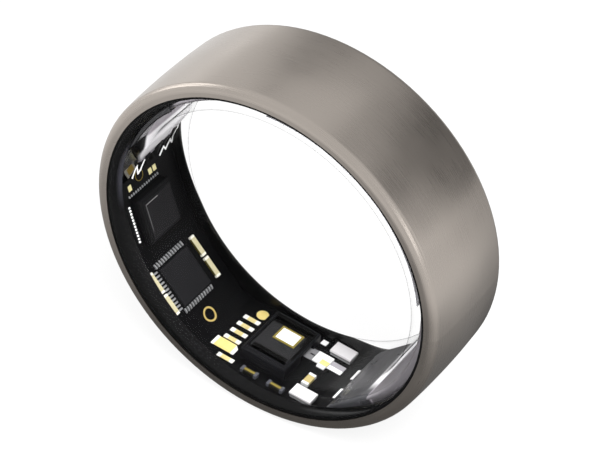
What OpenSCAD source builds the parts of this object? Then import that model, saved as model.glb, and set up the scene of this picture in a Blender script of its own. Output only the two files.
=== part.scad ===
// Smart ring with a clear inner moulding that shows the electronics.
// The finger axis runs along Y, the bore is centred on the origin and the sensor is lowest.

/* [Ring] */
// Diameter of the finger bore
bore_d = 20.6; // [19.6:0.1:22.2]
// Radial thickness of the ring
wall = 2.45; // [2.4:0.05:2.8]
// Width of the ring along the finger
ring_w = 7.9; // [7.8:0.1:9]
// Drop of the crowned outside from the middle to the edges
crown_h = 0.14; // [0.05:0.01:0.25]
// Rounding of the outer edges, measured along the radius
edge_r = 0.55; // [0.4:0.05:0.6]
// Rounding of the outer edges, measured along the finger
edge_w = 0.5; // [0.35:0.05:0.6]

/* [Metal shell] */
// Wall of the shell between its lips
shell_t = 0.4; // [0.35:0.05:0.5]
// Depth of the lips at the two edges, measured along the radius
lip_h = 0.95; // [0.85:0.05:1]
// Thickness of the lips, measured along the finger
lip_t = 0.45; // [0.4:0.05:0.5]

/* [Inner moulding] */
// Thickness of the clear liner
liner_t = 0.3; // [0.25:0.05:0.35]
// Width of each eased edge of the bore, measured along the finger
ease_w = 1.75; // [1.65:0.05:2]
// Depth of the eased bore edge, measured along the radius
ease_h = 1.9; // [1.7:0.1:2.1]
// Recess of the moulding below the edge of the metal
face_drop = 0.06; // [0.03:0.01:0.1]
// Thickness of the black seal between metal and moulding
seal_t = 0.18; // [0.1:0.02:0.22]
// Side wall of the black carrier
side_t = 0.2; // [0.16:0.02:0.26]
// Clear skin over the sensor
skin_t = 0.1; // [0.08:0.01:0.14]

/* [Board] */
// Thickness of the flexible board
flex_t = 0.1; // [0.08:0.01:0.14]
// Thickness of the rigid plates behind its flat stretches
plate_t = 0.1; // [0.08:0.01:0.12]
// Flat board on each side of the motion chip
motion_room_l = 1.95; // [1.8:0.05:2.1]
// Flat board on each side of the processor
cpu_room_l = 1.7; // [1.6:0.05:1.8]

/* [Chips] */
// Side of the motion chip
motion_l = 3.3; // [3:0.1:3.4]
// Height of the motion chip without its lid
motion_h = 0.56; // [0.4:0.02:0.6]
// Side of the processor
cpu_l = 3; // [2.7:0.1:3.1]
// Height of the processor
cpu_h = 0.34; // [0.24:0.02:0.4]
// Thickness of the lid on the motion chip
lid_t = 0.07; // [0.05:0.01:0.09]
// Length of a lead that shows beside a chip
lead_l = 0.34; // [0.26:0.02:0.36]
// Width of a lead
lead_w = 0.12; // [0.08:0.01:0.14]
// Spacing of the leads
lead_pitch = 0.264; // [0.24:0.004:0.27]
// Leads on each side of a chip
lead_n = 12; // [8:1:12]
// Length of a bar capacitor
bar_l = 1.56; // [1.4:0.02:1.58]
// Width of a bar capacitor
bar_w = 0.38; // [0.3:0.02:0.4]
// Height of a bar capacitor
bar_h = 0.2; // [0.14:0.02:0.26]

/* [Optical sensor] */
// Length of the sensor housing round the ring
housing_l = 3.45; // [3.3:0.05:3.5]
// Width of the sensor housing along the finger
housing_w = 4.3; // [4.1:0.05:4.3]
// Rim of the window on the side of the contact fingers
left_rim_t = 0.18; // [0.16:0.02:0.24]
// Rim of the window on the side of the lamps
right_rim_t = 0.32; // [0.26:0.02:0.36]
// Rims of the window at the rear and the front
side_rim_t = 0.4; // [0.34:0.02:0.44]
// Width of the dark slot between window and chip
slot_w = 0.4; // [0.3:0.02:0.44]
// Length of the photodiode
diode_l = 1.36; // [1.2:0.04:1.4]
// Width of the photodiode
diode_w = 1.02; // [0.9:0.02:1.1]
// Length of a lamp
lamp_l = 1.6; // [1.5:0.02:1.64]
// Width of a lamp
lamp_w = 0.98; // [0.9:0.02:1]
// Height of a lamp
lamp_h = 0.45; // [0.35:0.01:0.5]
// Length of a chip capacitor
cap_l = 1.22; // [1.1:0.02:1.26]
// Width of a chip capacitor
cap_w = 0.44; // [0.36:0.02:0.46]
// Height of a chip capacitor
cap_h = 0.26; // [0.2:0.02:0.3]
// Length of a contact finger
finger_l = 1.24; // [1.1:0.02:1.26]
// Width of a contact finger
finger_w = 0.34; // [0.26:0.02:0.36]
// Spacing of the contact fingers
finger_pitch = 0.76; // [0.7:0.01:0.78]

/* [Power] */
// Gap between the battery and the two walls of the bay
cell_gap = 0.3; // [0.24:0.02:0.5]
// Thickness of the foam tape behind the battery
tape_t = 0.15; // [0.1:0.01:0.18]
// Thickness of the ferrite sheet
ferrite_t = 0.15; // [0.1:0.01:0.17]
// Thickness of the charging coil
coil_t = 0.1; // [0.08:0.01:0.12]
// Width of one track of the charging coil
track_w = 0.24; // [0.18:0.02:0.26]
// Turns of the charging coil
coil_turns = 3; // [2:1:3]

/* [Hidden] */

// clearances and small thicknesses
fit = 0.02;
air = 0.05;
pad_t = 0.04;
over = 0.5;
fine = 96;

// radii of the layers, from the bore outwards
bore_r = bore_d / 2;
shell_r = bore_r + wall;
channel_r = shell_r - shell_t;
lip_r = shell_r - lip_h;
seal_r = lip_r - seal_t;
liner_r = bore_r + liner_t;
flex_r = channel_r - fit - plate_t - flex_t - air;
half_w = ring_w / 2;
face_z = half_w - face_drop;
channel_z = half_w - lip_t;
bay_z = channel_z - side_t;

// angles round the ring, counted from the right towards the top
motion_a = 198.75;
cpu_a = 224;
sensor_a = 265;
board_a0 = 181.6;
board_a1 = 291.4;
front_a0 = 157;
front_a1 = 303;
cell_a0 = -50;
cell_a1 = 150;
round_a = 360;

// the three flats, each as long as what it carries, and their distances from the finger axis
ground_l = 1.78;
ground_gap = 0.395;
left_end_l = 0.32;
left_room = ground_gap + ground_l + left_end_l;
tail_show_l = 0.445;
temp_l = 1.14;
long_pad_l = 1.02;
right_end_l = 0.13;
right_room = tail_show_l + temp_l + fit + long_pad_l + right_end_l;
motion_flat = motion_l + 2 * motion_room_l;
cpu_flat = cpu_l + 2 * cpu_room_l;
sensor_flat = housing_l + left_room + right_room;
housing_u = (left_room - right_room) / 2;
motion_r = sqrt(flex_r * flex_r - motion_flat * motion_flat / 4);
cpu_r = sqrt(flex_r * flex_r - cpu_flat * cpu_flat / 4);
sensor_r = sqrt(flex_r * flex_r - sensor_flat * sensor_flat / 4);

// sensor stack: the housing reaches up to the clear skin
housing_h = sensor_r - bore_r - skin_t;
chip_drop_share = 0.22;
floor_share = 0.42;
optical_h = housing_h * (1 - chip_drop_share);
floor_h = housing_h * floor_share;
frame_t = 0.05;
diode_t = 0.06;
frame_w = 0.15;
housing_r = 0.14;

// across the bay the pieces stand in four files; each list gives the shares of the bay's free width
// that lie above each piece of a file, from the rear wall to the front wall
motion_y_share = -0.02;
cpu_free_shares = [0.487, 0.148, 0.056];
housing_free_shares = [0.358, 0.379];
pad_free_shares = [0.263, 0.126, 0.067, 0.178];
lamp_free_shares = [0.043, 0.11, 0.381, 0.172];
lamp_u_share = 0.786;

// battery stack
cell_w = 2 * (bay_z - cell_gap);
coil_r = liner_r + air;
ferrite_r = coil_r + coil_t + fit;
cell_r0 = ferrite_r + ferrite_t + fit;
cell_r1 = channel_r - fit - tape_t - fit;
cell_round = 0.22;
seal_a = 10;

// colours
titanium = "#9d968f";
black_plastic = "#1a1a1c";
board_black = "#232326";
chip_black = "#2a2a2d";
gold = "#d9c27a";
tin = "#e6e4e0";
cream = "#cfc6a4";
clear = "#dfe3e644";
foil = "#b9b6bd";

// radius of the finger side of the moulding at a distance z from the middle
ease_power = 2.5;
land_w = ring_w - 2 * ease_w;
function ease_share(z) = max(0, (abs(z) - land_w / 2) / ease_w);
function inner_r(z) =
    bore_r + ease_h * (1 - pow(1 - pow(ease_share(z), ease_power), 1 / ease_power));

// the ring is drawn round Z and then laid with its axis along Y, front edge towards -Y
module in_ring() rotate([90, 0, 0]) children();

// a flat of the board: X runs round the ring, Y to the rear edge, Z towards the finger
module on_flat(a, r)
    in_ring() rotate([0, 0, a]) translate([r, 0, 0]) rotate([-90, 0, 90]) children();

module sector(a0, a1, r)
    polygon(concat([[0, 0]], [for (i = [0:8]) let (a = a0 + (a1 - a0) * i / 8) [r * cos(a), r * sin(a)]]));

// a band between two radii and two distances from the middle
module band(r0, r1, z0, z1, a0 = 0, a = 360)
    in_ring() rotate([0, 0, a0]) rotate_extrude(angle = a, $fn = fine)
        translate([r0, z0]) square([r1 - r0, z1 - z0]);

// everything on the finger side of the board, grown outwards by t
module inside_board(t) {
    reach = 2 * shell_r;
    intersection() {
        circle(r = flex_r + t, $fn = fine);
        for_flat(motion_a, motion_r + t, reach);
        for_flat(cpu_a, cpu_r + t, reach);
        for_flat(sensor_a, sensor_r + t, reach);
    }
}
module for_flat(a, r, reach)
    rotate([0, 0, a]) translate([r - reach, -reach]) square([reach, 2 * reach]);

module block(l, w, h, u = 0, y = 0, z = 0, grow = 0)
    translate([u - l / 2 - grow, y - w / 2 - grow, z]) cube([l + 2 * grow, w + 2 * grow, h + grow]);

// metal shell: crowned outside, rounded edges and a lip at each edge
crown_r = (half_w * half_w + crown_h * crown_h) / (2 * crown_h);
function crown_at(z) = shell_r - crown_r + sqrt(crown_r * crown_r - z * z);
module outer_shell() {
    steps = 10;
    round_steps = 8;
    top_z = half_w - edge_w;
    side = [for (i = [-steps:steps]) let (z = top_z * i / steps) [crown_at(z), z]];
    corner = [for (i = [1:round_steps]) let (a = 90 * i / round_steps)
        [crown_at(top_z) - edge_r * (1 - cos(a)), top_z + edge_w * sin(a)]];
    low_corner = [for (i = [round_steps:-1:1]) let (p = corner[i - 1]) [p[0], -p[1]]];
    inside = [[lip_r, half_w], [lip_r, channel_z], [channel_r, channel_z],
        [channel_r, -channel_z], [lip_r, -channel_z], [lip_r, -half_w]];
    color(titanium) in_ring() rotate_extrude($fn = fine)
        polygon(concat(low_corner, side, corner, inside));
}

// black adhesive line between the metal lips and the moulding
module edge_seals() color(black_plastic) {
    band(seal_r, lip_r - fit, channel_z, face_z);
    band(seal_r, lip_r - fit, -face_z, -channel_z);
}

// the eased edge from the bay wall to the face, out to radius r
module edge_profile(r, z0) {
    steps = 12;
    curve = [for (i = [0:steps]) let (z = z0 + (face_z - z0) * i / steps)
        if (inner_r(z) < r) [inner_r(z), z]];
    last_z = curve[len(curve) - 1][1];
    polygon(concat(curve, [[r, last_z + fit], [r, z0]]));
}

// the back of the liner flares out at both ends to meet its rims
flare_l = 0.4;
flare_h = 0.18;
module liner_space(grow) in_ring() rotate_extrude($fn = fine)
    polygon([[0, bay_z], [liner_r + flare_h + grow, bay_z], [liner_r + grow, bay_z - flare_l - grow],
        [liner_r + grow, flare_l + grow - bay_z], [liner_r + flare_h + grow, -bay_z], [0, -bay_z]]);

// clear liner in one section: bore, eased edges, rims out to the seals and the flared back
module resin_liner() {
    steps = 24;
    half = [for (i = [0:steps]) let (z = land_w / 2 + (face_z - land_w / 2) * i / steps)
        if (inner_r(z) < seal_r - fit) [inner_r(z), z]];
    last = len(half) - 1;
    back = [[seal_r - fit, half[last][1]], [seal_r - fit, bay_z - fit], [liner_r + flare_h, bay_z - fit],
        [liner_r, bay_z - flare_l]];
    section = concat([for (i = [last:-1:0]) mirrored(half[i])], half, back,
        [for (i = [len(back) - 1:-1:0]) mirrored(back[i])]);
    color(clear) difference() {
        in_ring() rotate_extrude($fn = fine) polygon(section);
        carrier_space();
        on_flat(sensor_a, sensor_r) housing_block(fit);
    }
}
function mirrored(p) = [p[0], -p[1]];

// space that the two edges of the carrier take out of the liner
module carrier_space() {
    deep = half_w - bay_z + over;
    in_ring() {
        translate([0, 0, bay_z - fit]) linear_extrude(deep) sector(front_a0, front_a1, 2 * shell_r);
        translate([0, 0, fit - bay_z - deep]) linear_extrude(deep) sector(board_a0, board_a1, 2 * shell_r);
    }
}

// black carrier: two eased edges and a floor that seats the flats of the board
module carrier() color(black_plastic) {
    in_ring() {
        rotate([0, 0, front_a0]) rotate_extrude(angle = front_a1 - front_a0, $fn = fine) carrier_edge();
        rotate([0, 0, board_a0]) rotate_extrude(angle = board_a1 - board_a0, $fn = fine)
            mirror([0, 1]) carrier_edge();
        translate([0, 0, -bay_z - side_t / 2]) linear_extrude(2 * bay_z + side_t) difference() {
            intersection() {
                circle(r = channel_r - 2 * fit, $fn = fine);
                sector(board_a0 + end_gap_a, board_a1 - end_gap_a, 2 * shell_r);
            }
            inside_board(flex_t + plate_t + fit);
        }
    }
}
module carrier_edge() {
    edge_profile(seal_r - fit, bay_z);
    translate([inner_r(bay_z) + air, bay_z])
        square([channel_r - fit - inner_r(bay_z) - air, channel_z - fit - bay_z]);
}

// clear potting over the board, with a pocket for each tall piece
module bay_potting() color(clear) difference() {
    in_ring() translate([0, 0, fit - bay_z]) linear_extrude(2 * (bay_z - fit)) intersection() {
        inside_board(-pad_t - fit);
        sector(board_a0, board_a1, 2 * shell_r);
    }
    liner_space(fit);
    on_flat(motion_a, motion_r) motion_pocket(fit);
    on_flat(cpu_a, cpu_r) cpu_pocket(fit);
    on_flat(sensor_a, sensor_r) {
        housing_block(fit);
        lamp_blocks(fit);
        cap_blocks(fit);
        temperature_block(fit);
    }
    terminal_block(fit);
}

// clear potting in the two gaps between the board and the battery
end_gap_a = 0.3;
module end_potting() color(clear) difference() {
    union() {
        gap_filling(board_a1, cell_a0 + round_a);
        gap_filling(cell_a1 + seal_a, board_a0);
    }
    liner_space(fit);
    on_flat(module_a, module_r) block(module_l, module_w, module_h, 0, module_y, 0, fit);
    terminal_block(fit);
    battery_strips(fit);
    in_ring() linear_extrude(cell_w, center = true) battery_end_shapes(fit);
}
module gap_filling(a0, a1)
    band(liner_r, channel_r - fit, fit - bay_z, bay_z - fit, a0 + end_gap_a, a1 - a0 - 2 * end_gap_a);

// flexible board that follows the ring and lies flat under the chips
module main_board() color(board_black) in_ring() difference() {
    translate([0, 0, fit - bay_z]) linear_extrude(2 * (bay_z - fit)) difference() {
        intersection() {
            inside_board(flex_t);
            sector(board_a0, board_a1, 2 * shell_r);
        }
        inside_board(0);
    }
    for (i = [0:tongue_n]) board_notch(i);
}

// the left end of the board is cut into tongues
tongue_n = 6;
tongue_w = 0.34;
tongue_l = 0.42;
tongue_y_share = -0.227;
tongue_edge = 0.3;
tongue_y = bay_z * tongue_y_share;
tongue_pitch = (bay_z - tongue_edge - tongue_y) / (tongue_n - 1);
tongue_a = tongue_l / flex_r * 180 / PI;
function tongue_at(i) = tongue_y + i * tongue_pitch;
module board_notch(i) {
    low = i == 0 ? -half_w : tongue_at(i - 1) + tongue_w / 2;
    high = i == tongue_n ? half_w : tongue_at(i) - tongue_w / 2;
    translate([0, 0, -high]) linear_extrude(high - low) sector(board_a0 - 1, board_a0 + tongue_a, 2 * shell_r);
}

// silver antenna that winds round the tongues as one track
aerial_w = 0.09;
function flat_u(a) = motion_r * tan(a - motion_a);
module antenna_trace() color(tin) on_flat(motion_a, motion_r) linear_extrude(pad_t) {
    out_u = flat_u(board_a0) + air;
    in_u = flat_u(board_a0 + tongue_a) + fit;
    for (i = [0:tongue_n - 1]) {
        low = tongue_at(i) - tongue_w / 2;
        high = tongue_at(i) + tongue_w / 2 - aerial_w;
        for (y = [low, high]) translate([out_u, y]) square([in_u - out_u + aerial_w, aerial_w]);
        translate([out_u, low]) square([aerial_w, tongue_w]);
        if (i < tongue_n - 1) translate([in_u, high]) square([aerial_w, tongue_pitch - tongue_w + 2 * aerial_w]);
    }
}

// rigid plates that keep the three stretches flat
plate_share = 0.9;
module board_plates() color(board_black) {
    plate(motion_a, motion_r, motion_plate_l, motion_plate_u);
    plate(cpu_a, cpu_r, cpu_plate_l, 0);
    plate(sensor_a, sensor_r, sensor_flat * plate_share, 0);
}
motion_plate_l = motion_l + 4 * lead_l;
motion_plate_u = -lead_l;
cpu_plate_l = cpu_l + 4 * lead_l;
module plate(a, r, l, u)
    on_flat(a, r) block(l, 2 * (bay_z - 2 * fit), plate_t - fit, u, 0, -flex_t - plate_t);

// motion chip: package, lid set towards the rear right, rows of leads
motion_y = bay_z * motion_y_share;
lid_inset = 0.36;
lid_margin = 0.1;
module motion_chip() color(chip_black)
    on_flat(motion_a, motion_r) bevelled(motion_l, motion_l, motion_h, 0, motion_y, package_bevel);
module motion_chip_lid() color(chip_black) on_flat(motion_a, motion_r)
    bevelled(motion_l - lid_inset - lid_margin, motion_l - lid_inset - lid_margin, lid_t,
        (lid_inset - lid_margin) / 2, motion_y + (lid_inset - lid_margin) / 2, lid_t / 2, motion_h);
package_bevel = 0.06;

// a block whose upper edges are bevelled by b
module bevelled(l, w, h, u, y, b, z = 0)
    translate([u, y, z]) intersection() {
        rotate([90, 0, 0]) linear_extrude(w, center = true) bevel_outline(l, h, b);
        rotate([90, 0, 90]) linear_extrude(l, center = true) bevel_outline(w, h, b);
    }
module bevel_outline(l, h, b)
    polygon([[-l / 2, 0], [l / 2, 0], [l / 2, h - b], [l / 2 - b, h], [b - l / 2, h], [-l / 2, h - b]]);

// rows of soldered lands beside a chip: each rises towards the package
land_t = 0.05;
land_up = 0.12;
module land(w)
    rotate([90, 0, 0]) linear_extrude(w, center = true)
        polygon([[0, 0], [lead_l, 0], [lead_l, land_t], [lead_l / 2, land_up], [0, land_up]]);
module land_row(n, pitch, reach, shift = 0)
    for (i = [0:n - 1]) translate([reach, shift + (i - (n - 1) / 2) * pitch, 0]) land(lead_w);
motion_gap = 0.26;
motion_end = motion_l / 2 + motion_gap + lead_l;
motion_left_n_share = 7 / 6;
motion_left_shift = 0.22;
motion_front_shift = -0.26;
module motion_chip_leads() color(tin)
    on_flat(motion_a, motion_r) translate([0, motion_y, 0]) {
        rotate([0, 0, 180]) land_row(round(lead_n * motion_left_n_share), lead_pitch * fine_share,
            motion_l / 2 + motion_gap, motion_left_shift);
        rotate([0, 0, 270]) land_row(lead_n, lead_pitch, motion_l / 2 + motion_gap, motion_front_shift);
    }
fine_share = 0.89;
module motion_pocket(grow) {
    reach = motion_gap + lead_l;
    block(motion_l, motion_l, motion_h, 0, motion_y, 0, grow);
    block(motion_l - lid_margin, motion_l - lid_margin, motion_h + lid_t, lid_margin / 2,
        motion_y + lid_margin / 2, 0, grow);
    block(motion_l + reach, motion_l + reach, land_up, -reach / 2, motion_y - reach / 2, 0, grow);
}

// processor: flat square package with lands on three sides, between two pairs of bar capacitors
cpu_gap = 0.1;
cpu_reach = cpu_l / 2 + cpu_gap + lead_l;
cpu_free_w = 2 * (bay_z - cpu_reach - bar_w);
rear_bar_y = bay_z - cpu_free_w * cpu_free_shares[0] - bar_w / 2;
cpu_y = rear_bar_y - bar_w / 2 - cpu_free_w * cpu_free_shares[1] - cpu_reach;
front_bar_y = cpu_y - cpu_reach - cpu_free_w * cpu_free_shares[2] - bar_w / 2;
bar_end = 0.16;
bar_joint = 0.15;
module processor() color(chip_black)
    on_flat(cpu_a, cpu_r) bevelled(cpu_l, cpu_l, cpu_h, 0, cpu_y, package_bevel);
module processor_leads() color(tin) on_flat(cpu_a, cpu_r) translate([0, cpu_y, 0])
    for (a = [0, 180, 270]) rotate([0, 0, a]) land_row(lead_n, lead_pitch, cpu_l / 2 + cpu_gap);
module bar_places()
    for (y = [front_bar_y, rear_bar_y], end = [-1, 1])
        translate([(end * (bar_l + bar_joint) - bar_joint) / 2, y, 0]) children();
module bar_capacitors() color(cream) on_flat(cpu_a, cpu_r)
    bar_places() block(bar_l - 2 * bar_end - fit, bar_w, bar_h);
module bar_capacitor_ends() color(tin) on_flat(cpu_a, cpu_r)
    bar_places() for (end = [-1, 1]) block(bar_end, bar_w, bar_h, end * (bar_l - bar_end) / 2);
module cpu_pocket(grow) {
    reach = 2 * (cpu_gap + lead_l);
    block(cpu_l, cpu_l, cpu_h, 0, cpu_y, 0, grow);
    block(cpu_l + reach, cpu_l + reach, land_up, 0, cpu_y, 0, grow);
    bar_places() block(bar_l, bar_w, bar_h, 0, 0, 0, grow);
}

// gilded rings: one on the bend before the sensor, a finer one at the left end
ring_pad_r = 0.52;
ring_pad_w = 0.12;
small_ring_r = 0.4;
small_ring_w = 0.05;
bend_a = 238.7;
bend_y_share = -0.07;
small_ring_gap = 0.23;
small_ring_y_share = -0.12;
module ring_outline(r, w, y = 0) translate([0, y]) difference() {
    circle(r = r, $fn = fine);
    circle(r = r - w, $fn = fine);
}
module board_skin(t)
    in_ring() translate([0, 0, -bay_z]) linear_extrude(2 * bay_z) difference() {
        inside_board(0);
        inside_board(-t);
    }
module ring_pads() color(gold) {
    intersection() {
        on_flat(bend_a, flex_r) translate([0, 0, -over / 2]) linear_extrude(over)
            ring_outline(ring_pad_r, ring_pad_w, bay_z * bend_y_share);
        board_skin(pad_t);
    }
    on_flat(motion_a, motion_r) translate([-motion_end - small_ring_gap - small_ring_r, 0, 0])
        linear_extrude(pad_t) ring_outline(small_ring_r, small_ring_w, bay_z * small_ring_y_share);
}

// contact fingers, the wide pad and the half round pad beside the housing
half_flat = sensor_flat / 2;
housing_left = housing_u - housing_l / 2;
finger_n = 4;
finger_gap = 0.62;
finger_rows = (finger_n - 1) * finger_pitch + finger_w;
ground_w = 0.86;
ground_cut = 0.28;
disc_r = 0.42;
disc_gap = 0.59;
disc_cut = 0.34;
pad_free_w = 2 * (bay_z - disc_r) - finger_rows - ground_w - finger_w;
disc_y = bay_z - pad_free_w * pad_free_shares[0] - disc_r;
finger_y = disc_y - disc_r - pad_free_w * pad_free_shares[1] - finger_w / 2;
ground_y = finger_y + finger_w / 2 - finger_rows - pad_free_w * pad_free_shares[2] - ground_w / 2;
low_finger_y = ground_y - ground_w / 2 - pad_free_w * pad_free_shares[3] - finger_w / 2;
module contact_fingers() color(gold) on_flat(sensor_a, sensor_r) {
    for (i = [0:finger_n - 1])
        block(finger_l, finger_w, pad_t, housing_left - finger_gap - finger_l / 2, finger_y - i * finger_pitch);
    block(finger_l, finger_w, pad_t, housing_left - finger_l / 2, low_finger_y);
}
module ground_pads() color(gold) on_flat(sensor_a, sensor_r) linear_extrude(pad_t) {
    translate([housing_left - ground_gap - ground_l / 2, ground_y])
        polygon([[-ground_l / 2, -ground_w / 2], [ground_l / 2, -ground_w / 2],
            [ground_l / 2, ground_w / 2 - ground_cut], [ground_l / 2 - ground_cut, ground_w / 2],
            [-ground_l / 2, ground_w / 2]]);
    translate([housing_left - disc_gap - disc_cut, disc_y]) difference() {
        circle(r = disc_r, $fn = fine);
        translate([disc_cut, -disc_r]) square(2 * disc_r);
    }
}

// sensor housing: black frame with a stepped window
housing_free_w = 2 * bay_z - housing_w - cap_w;
housing_y = bay_z - housing_free_w * housing_free_shares[0] - housing_w / 2;
window_l = housing_l - left_rim_t - right_rim_t;
window_w = housing_w - 2 * side_rim_t;
window_u = housing_u - (right_rim_t - left_rim_t) / 2;
window_y = housing_y;
module housing_block(grow) block(housing_l, housing_w, housing_h, housing_u, housing_y, 0, grow);
module sensor_housing() color(black_plastic) on_flat(sensor_a, sensor_r) difference() {
    bevelled(housing_l, housing_w, housing_h, housing_u, housing_y, housing_r / 2);
    block(window_l, window_w, housing_h, window_u, window_y, floor_h);
    block(2 * tail_in, tail_gap_w, tail_gap_h, housing_u + housing_l / 2, tail_y - tail_gap_w / 4, -fit);
}
tail_in = 0.3;
tail_gap_w = 1.6;
tail_gap_h = 0.55;

// optical chip on the floor of the window, with the photodiode in its gilded frame
chip_l = window_l - 2 * fit;
chip_w = window_w - slot_w;
chip_y = window_y + slot_w / 2 - fit;
diode_right = 0.19;
diode_rear = 0.69;
diode_u = window_u + diode_right;
diode_y = window_y + diode_rear;
module optical_chip() color(chip_black) on_flat(sensor_a, sensor_r)
    block(chip_l, chip_w - 2 * fit, optical_h - floor_h, window_u, chip_y, floor_h);
module photodiode_frame() color(gold) on_flat(sensor_a, sensor_r) difference() {
    block(diode_l + 2 * frame_w, diode_w + 2 * frame_w, frame_t, diode_u, diode_y, optical_h);
    block(diode_l + 2 * fit, diode_w + 2 * fit, 2 * frame_t, diode_u, diode_y, optical_h - frame_t / 2);
}
module photodiode() color(tin) on_flat(sensor_a, sensor_r)
    block(diode_l, diode_w, diode_t, diode_u, diode_y, optical_h);

// lamps: a ceramic base and a clear block above it
base_share = 0.45;
base_inset = 0.04;
lamp_u = half_flat * lamp_u_share;
temp_w = 0.96;
temp_foot_w = 0.28;
small_cap_l = 1.08;
lamp_free_w = 2 * (bay_z - lamp_w) - temp_w - temp_foot_w - small_cap_l;
high_lamp_y = bay_z - lamp_free_w * lamp_free_shares[0] - lamp_w / 2;
temp_y = high_lamp_y - lamp_w / 2 - lamp_free_w * lamp_free_shares[1] - temp_w / 2;
small_cap_y = temp_y - temp_w / 2 - temp_foot_w - lamp_free_w * lamp_free_shares[2] - small_cap_l / 2;
low_lamp_y = small_cap_y - small_cap_l / 2 - lamp_free_w * lamp_free_shares[3] - lamp_w / 2;
module lamp_places() for (y = [high_lamp_y, low_lamp_y]) translate([lamp_u, y, 0]) children();
module lamp_blocks(grow) lamp_places() block(lamp_l, lamp_w, lamp_h, 0, 0, 0, grow);
module lamp_bases() color(cream) on_flat(sensor_a, sensor_r) lamp_places()
    block(lamp_l - 2 * base_inset, lamp_w - 2 * base_inset, lamp_h * base_share);
module lamp_domes() color("white") on_flat(sensor_a, sensor_r) lamp_places()
    bevelled(lamp_l, lamp_w, lamp_h * (1 - base_share), 0, 0, base_inset, lamp_h * base_share);

// chip capacitors: two along the front wall, one across the board
cap_end = 0.2;
front_cap_y = housing_y - housing_w / 2 - housing_free_w * housing_free_shares[1] - cap_w / 2;
cap_u_shares = [-0.11, 0.36];
small_cap_u_share = 0.668;
small_cap_w = 0.5;
module cap_places() {
    for (s = cap_u_shares) translate([half_flat * s, front_cap_y, 0])
        cap_size(cap_l, cap_w) children();
    translate([half_flat * small_cap_u_share, small_cap_y, 0])
        rotate([0, 0, 90]) cap_size(small_cap_l, small_cap_w) children();
}
module cap_size(l, w) {
    $cap_l = l;
    $cap_w = w;
    children();
}
module cap_blocks(grow) cap_places() block($cap_l, $cap_w, cap_h, 0, 0, 0, grow);
module chip_capacitors() color(cream) on_flat(sensor_a, sensor_r) cap_places()
    block($cap_l - 2 * cap_end - fit, $cap_w - fit, cap_h - fit);
module capacitor_ends() color(tin) on_flat(sensor_a, sensor_r) cap_places()
    for (end = [-1, 1]) block(cap_end, $cap_w, cap_h, end * ($cap_l - cap_end) / 2);

// temperature sensor on a flat tail that comes out under the side of the housing
temp_h = 0.12;
temp_foot_l = 0.56;
temp_foot_shift = 0.22;
tail_w = 1.02;
long_pad_w = 0.78;
gilt_l = 0.6;
gilt_w = 0.42;
slot_t = 0.12;
slot_l = tail_show_l - 3 * fit;
temp_u = housing_u + housing_l / 2 + tail_show_l + temp_l / 2;
tail_y = temp_y;
tail_u0 = housing_u + housing_l / 2 - tail_in + fit;
tail_u1 = temp_u - temp_l / 2 - fit;
module temperature_block(grow) {
    block(temp_l, temp_w, temp_h + pad_t, temp_u, temp_y, 0, grow);
    block(temp_foot_l, temp_foot_w, temp_h, temp_u + temp_foot_shift, temp_y - (temp_w + temp_foot_w) / 2, 0, grow);
}
module temperature_sensor() color("white") on_flat(sensor_a, sensor_r) {
    block(temp_l, temp_w, temp_h, temp_u, temp_y);
    block(temp_foot_l, temp_foot_w + fit, temp_h, temp_u + temp_foot_shift,
        temp_y - (temp_w + temp_foot_w - fit) / 2);
}
module temperature_pad() color(gold) on_flat(sensor_a, sensor_r)
    block(gilt_l, gilt_w, pad_t, temp_u + (temp_l - gilt_l) / 2, temp_y - (temp_w - gilt_w) / 2, temp_h);
module temperature_tail() color(tin) on_flat(sensor_a, sensor_r) {
    block(long_pad_l, long_pad_w, pad_t, temp_u + (temp_l + long_pad_l) / 2 + fit, temp_y - air);
    difference() {
        block(tail_u1 - tail_u0, tail_w, pad_t, (tail_u0 + tail_u1) / 2, tail_y);
        block(slot_l, slot_t, 2 * pad_t, tail_u1 - slot_l / 2 - fit, tail_y, -pad_t / 2);
    }
}

// gilded test pads at the left end of the board
test_l = 0.4;
test_w = 0.32;
test_gap = 0.1;
test_y_shares = [0.34, 0.2, -0.47];
module test_pads() color(gold) on_flat(motion_a, motion_r)
    for (s = test_y_shares) block(test_l, test_w, pad_t, -motion_end - test_gap - test_l / 2, bay_z * s);

// bare solder pads: one behind the housing, two at the right end of the board
pad_size = 0.42;
end_pad_l = 0.2;
end_pad_w = 1.04;
pad_y_share = 0.87;
end_pad_a = 289.8;
end_pad_y_shares = [0.43, -0.21];
module solder_pads() color(tin) {
    on_flat(sensor_a, sensor_r)
        block(pad_size, pad_size, pad_t, housing_u + (housing_l + pad_size) / 2 + fit, bay_z * pad_y_share);
    for (s = end_pad_y_shares)
        band(flex_r - pad_t, flex_r - fit, -bay_z * s - end_pad_w / 2, end_pad_w / 2 - bay_z * s,
            end_pad_a, end_pad_l / flex_r * 180 / PI);
}

// battery terminal at the left end of the board, turned towards the strips that reach it
terminal_l = 1.05;
terminal_w = 0.95;
terminal_h = 0.1;
terminal_a = 180;
terminal_turn = 28;
terminal_y_share = -0.38;
terminal_y = bay_z * terminal_y_share;
terminal_r = flex_r - pad_t - fit - terminal_w * terminal_w / 4 / flex_r;
gilt_inset = 0.2;
module terminal_block(grow) on_flat(terminal_a, terminal_r) translate([0, terminal_y, 0])
    rotate([0, 0, terminal_turn]) block(terminal_l, terminal_w, terminal_h + pad_t, 0, 0, 0, grow);
module battery_terminal() color(tin) on_flat(terminal_a, terminal_r) translate([0, terminal_y, 0])
    rotate([0, 0, terminal_turn]) bevelled(terminal_l, terminal_w, terminal_h, 0, 0, base_inset);
module terminal_gilt() color(gold) on_flat(terminal_a, terminal_r)
    translate([0, terminal_y, terminal_h]) rotate([0, 0, terminal_turn])
        block(terminal_l - 2 * gilt_inset, terminal_w - 2 * gilt_inset, pad_t);

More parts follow.
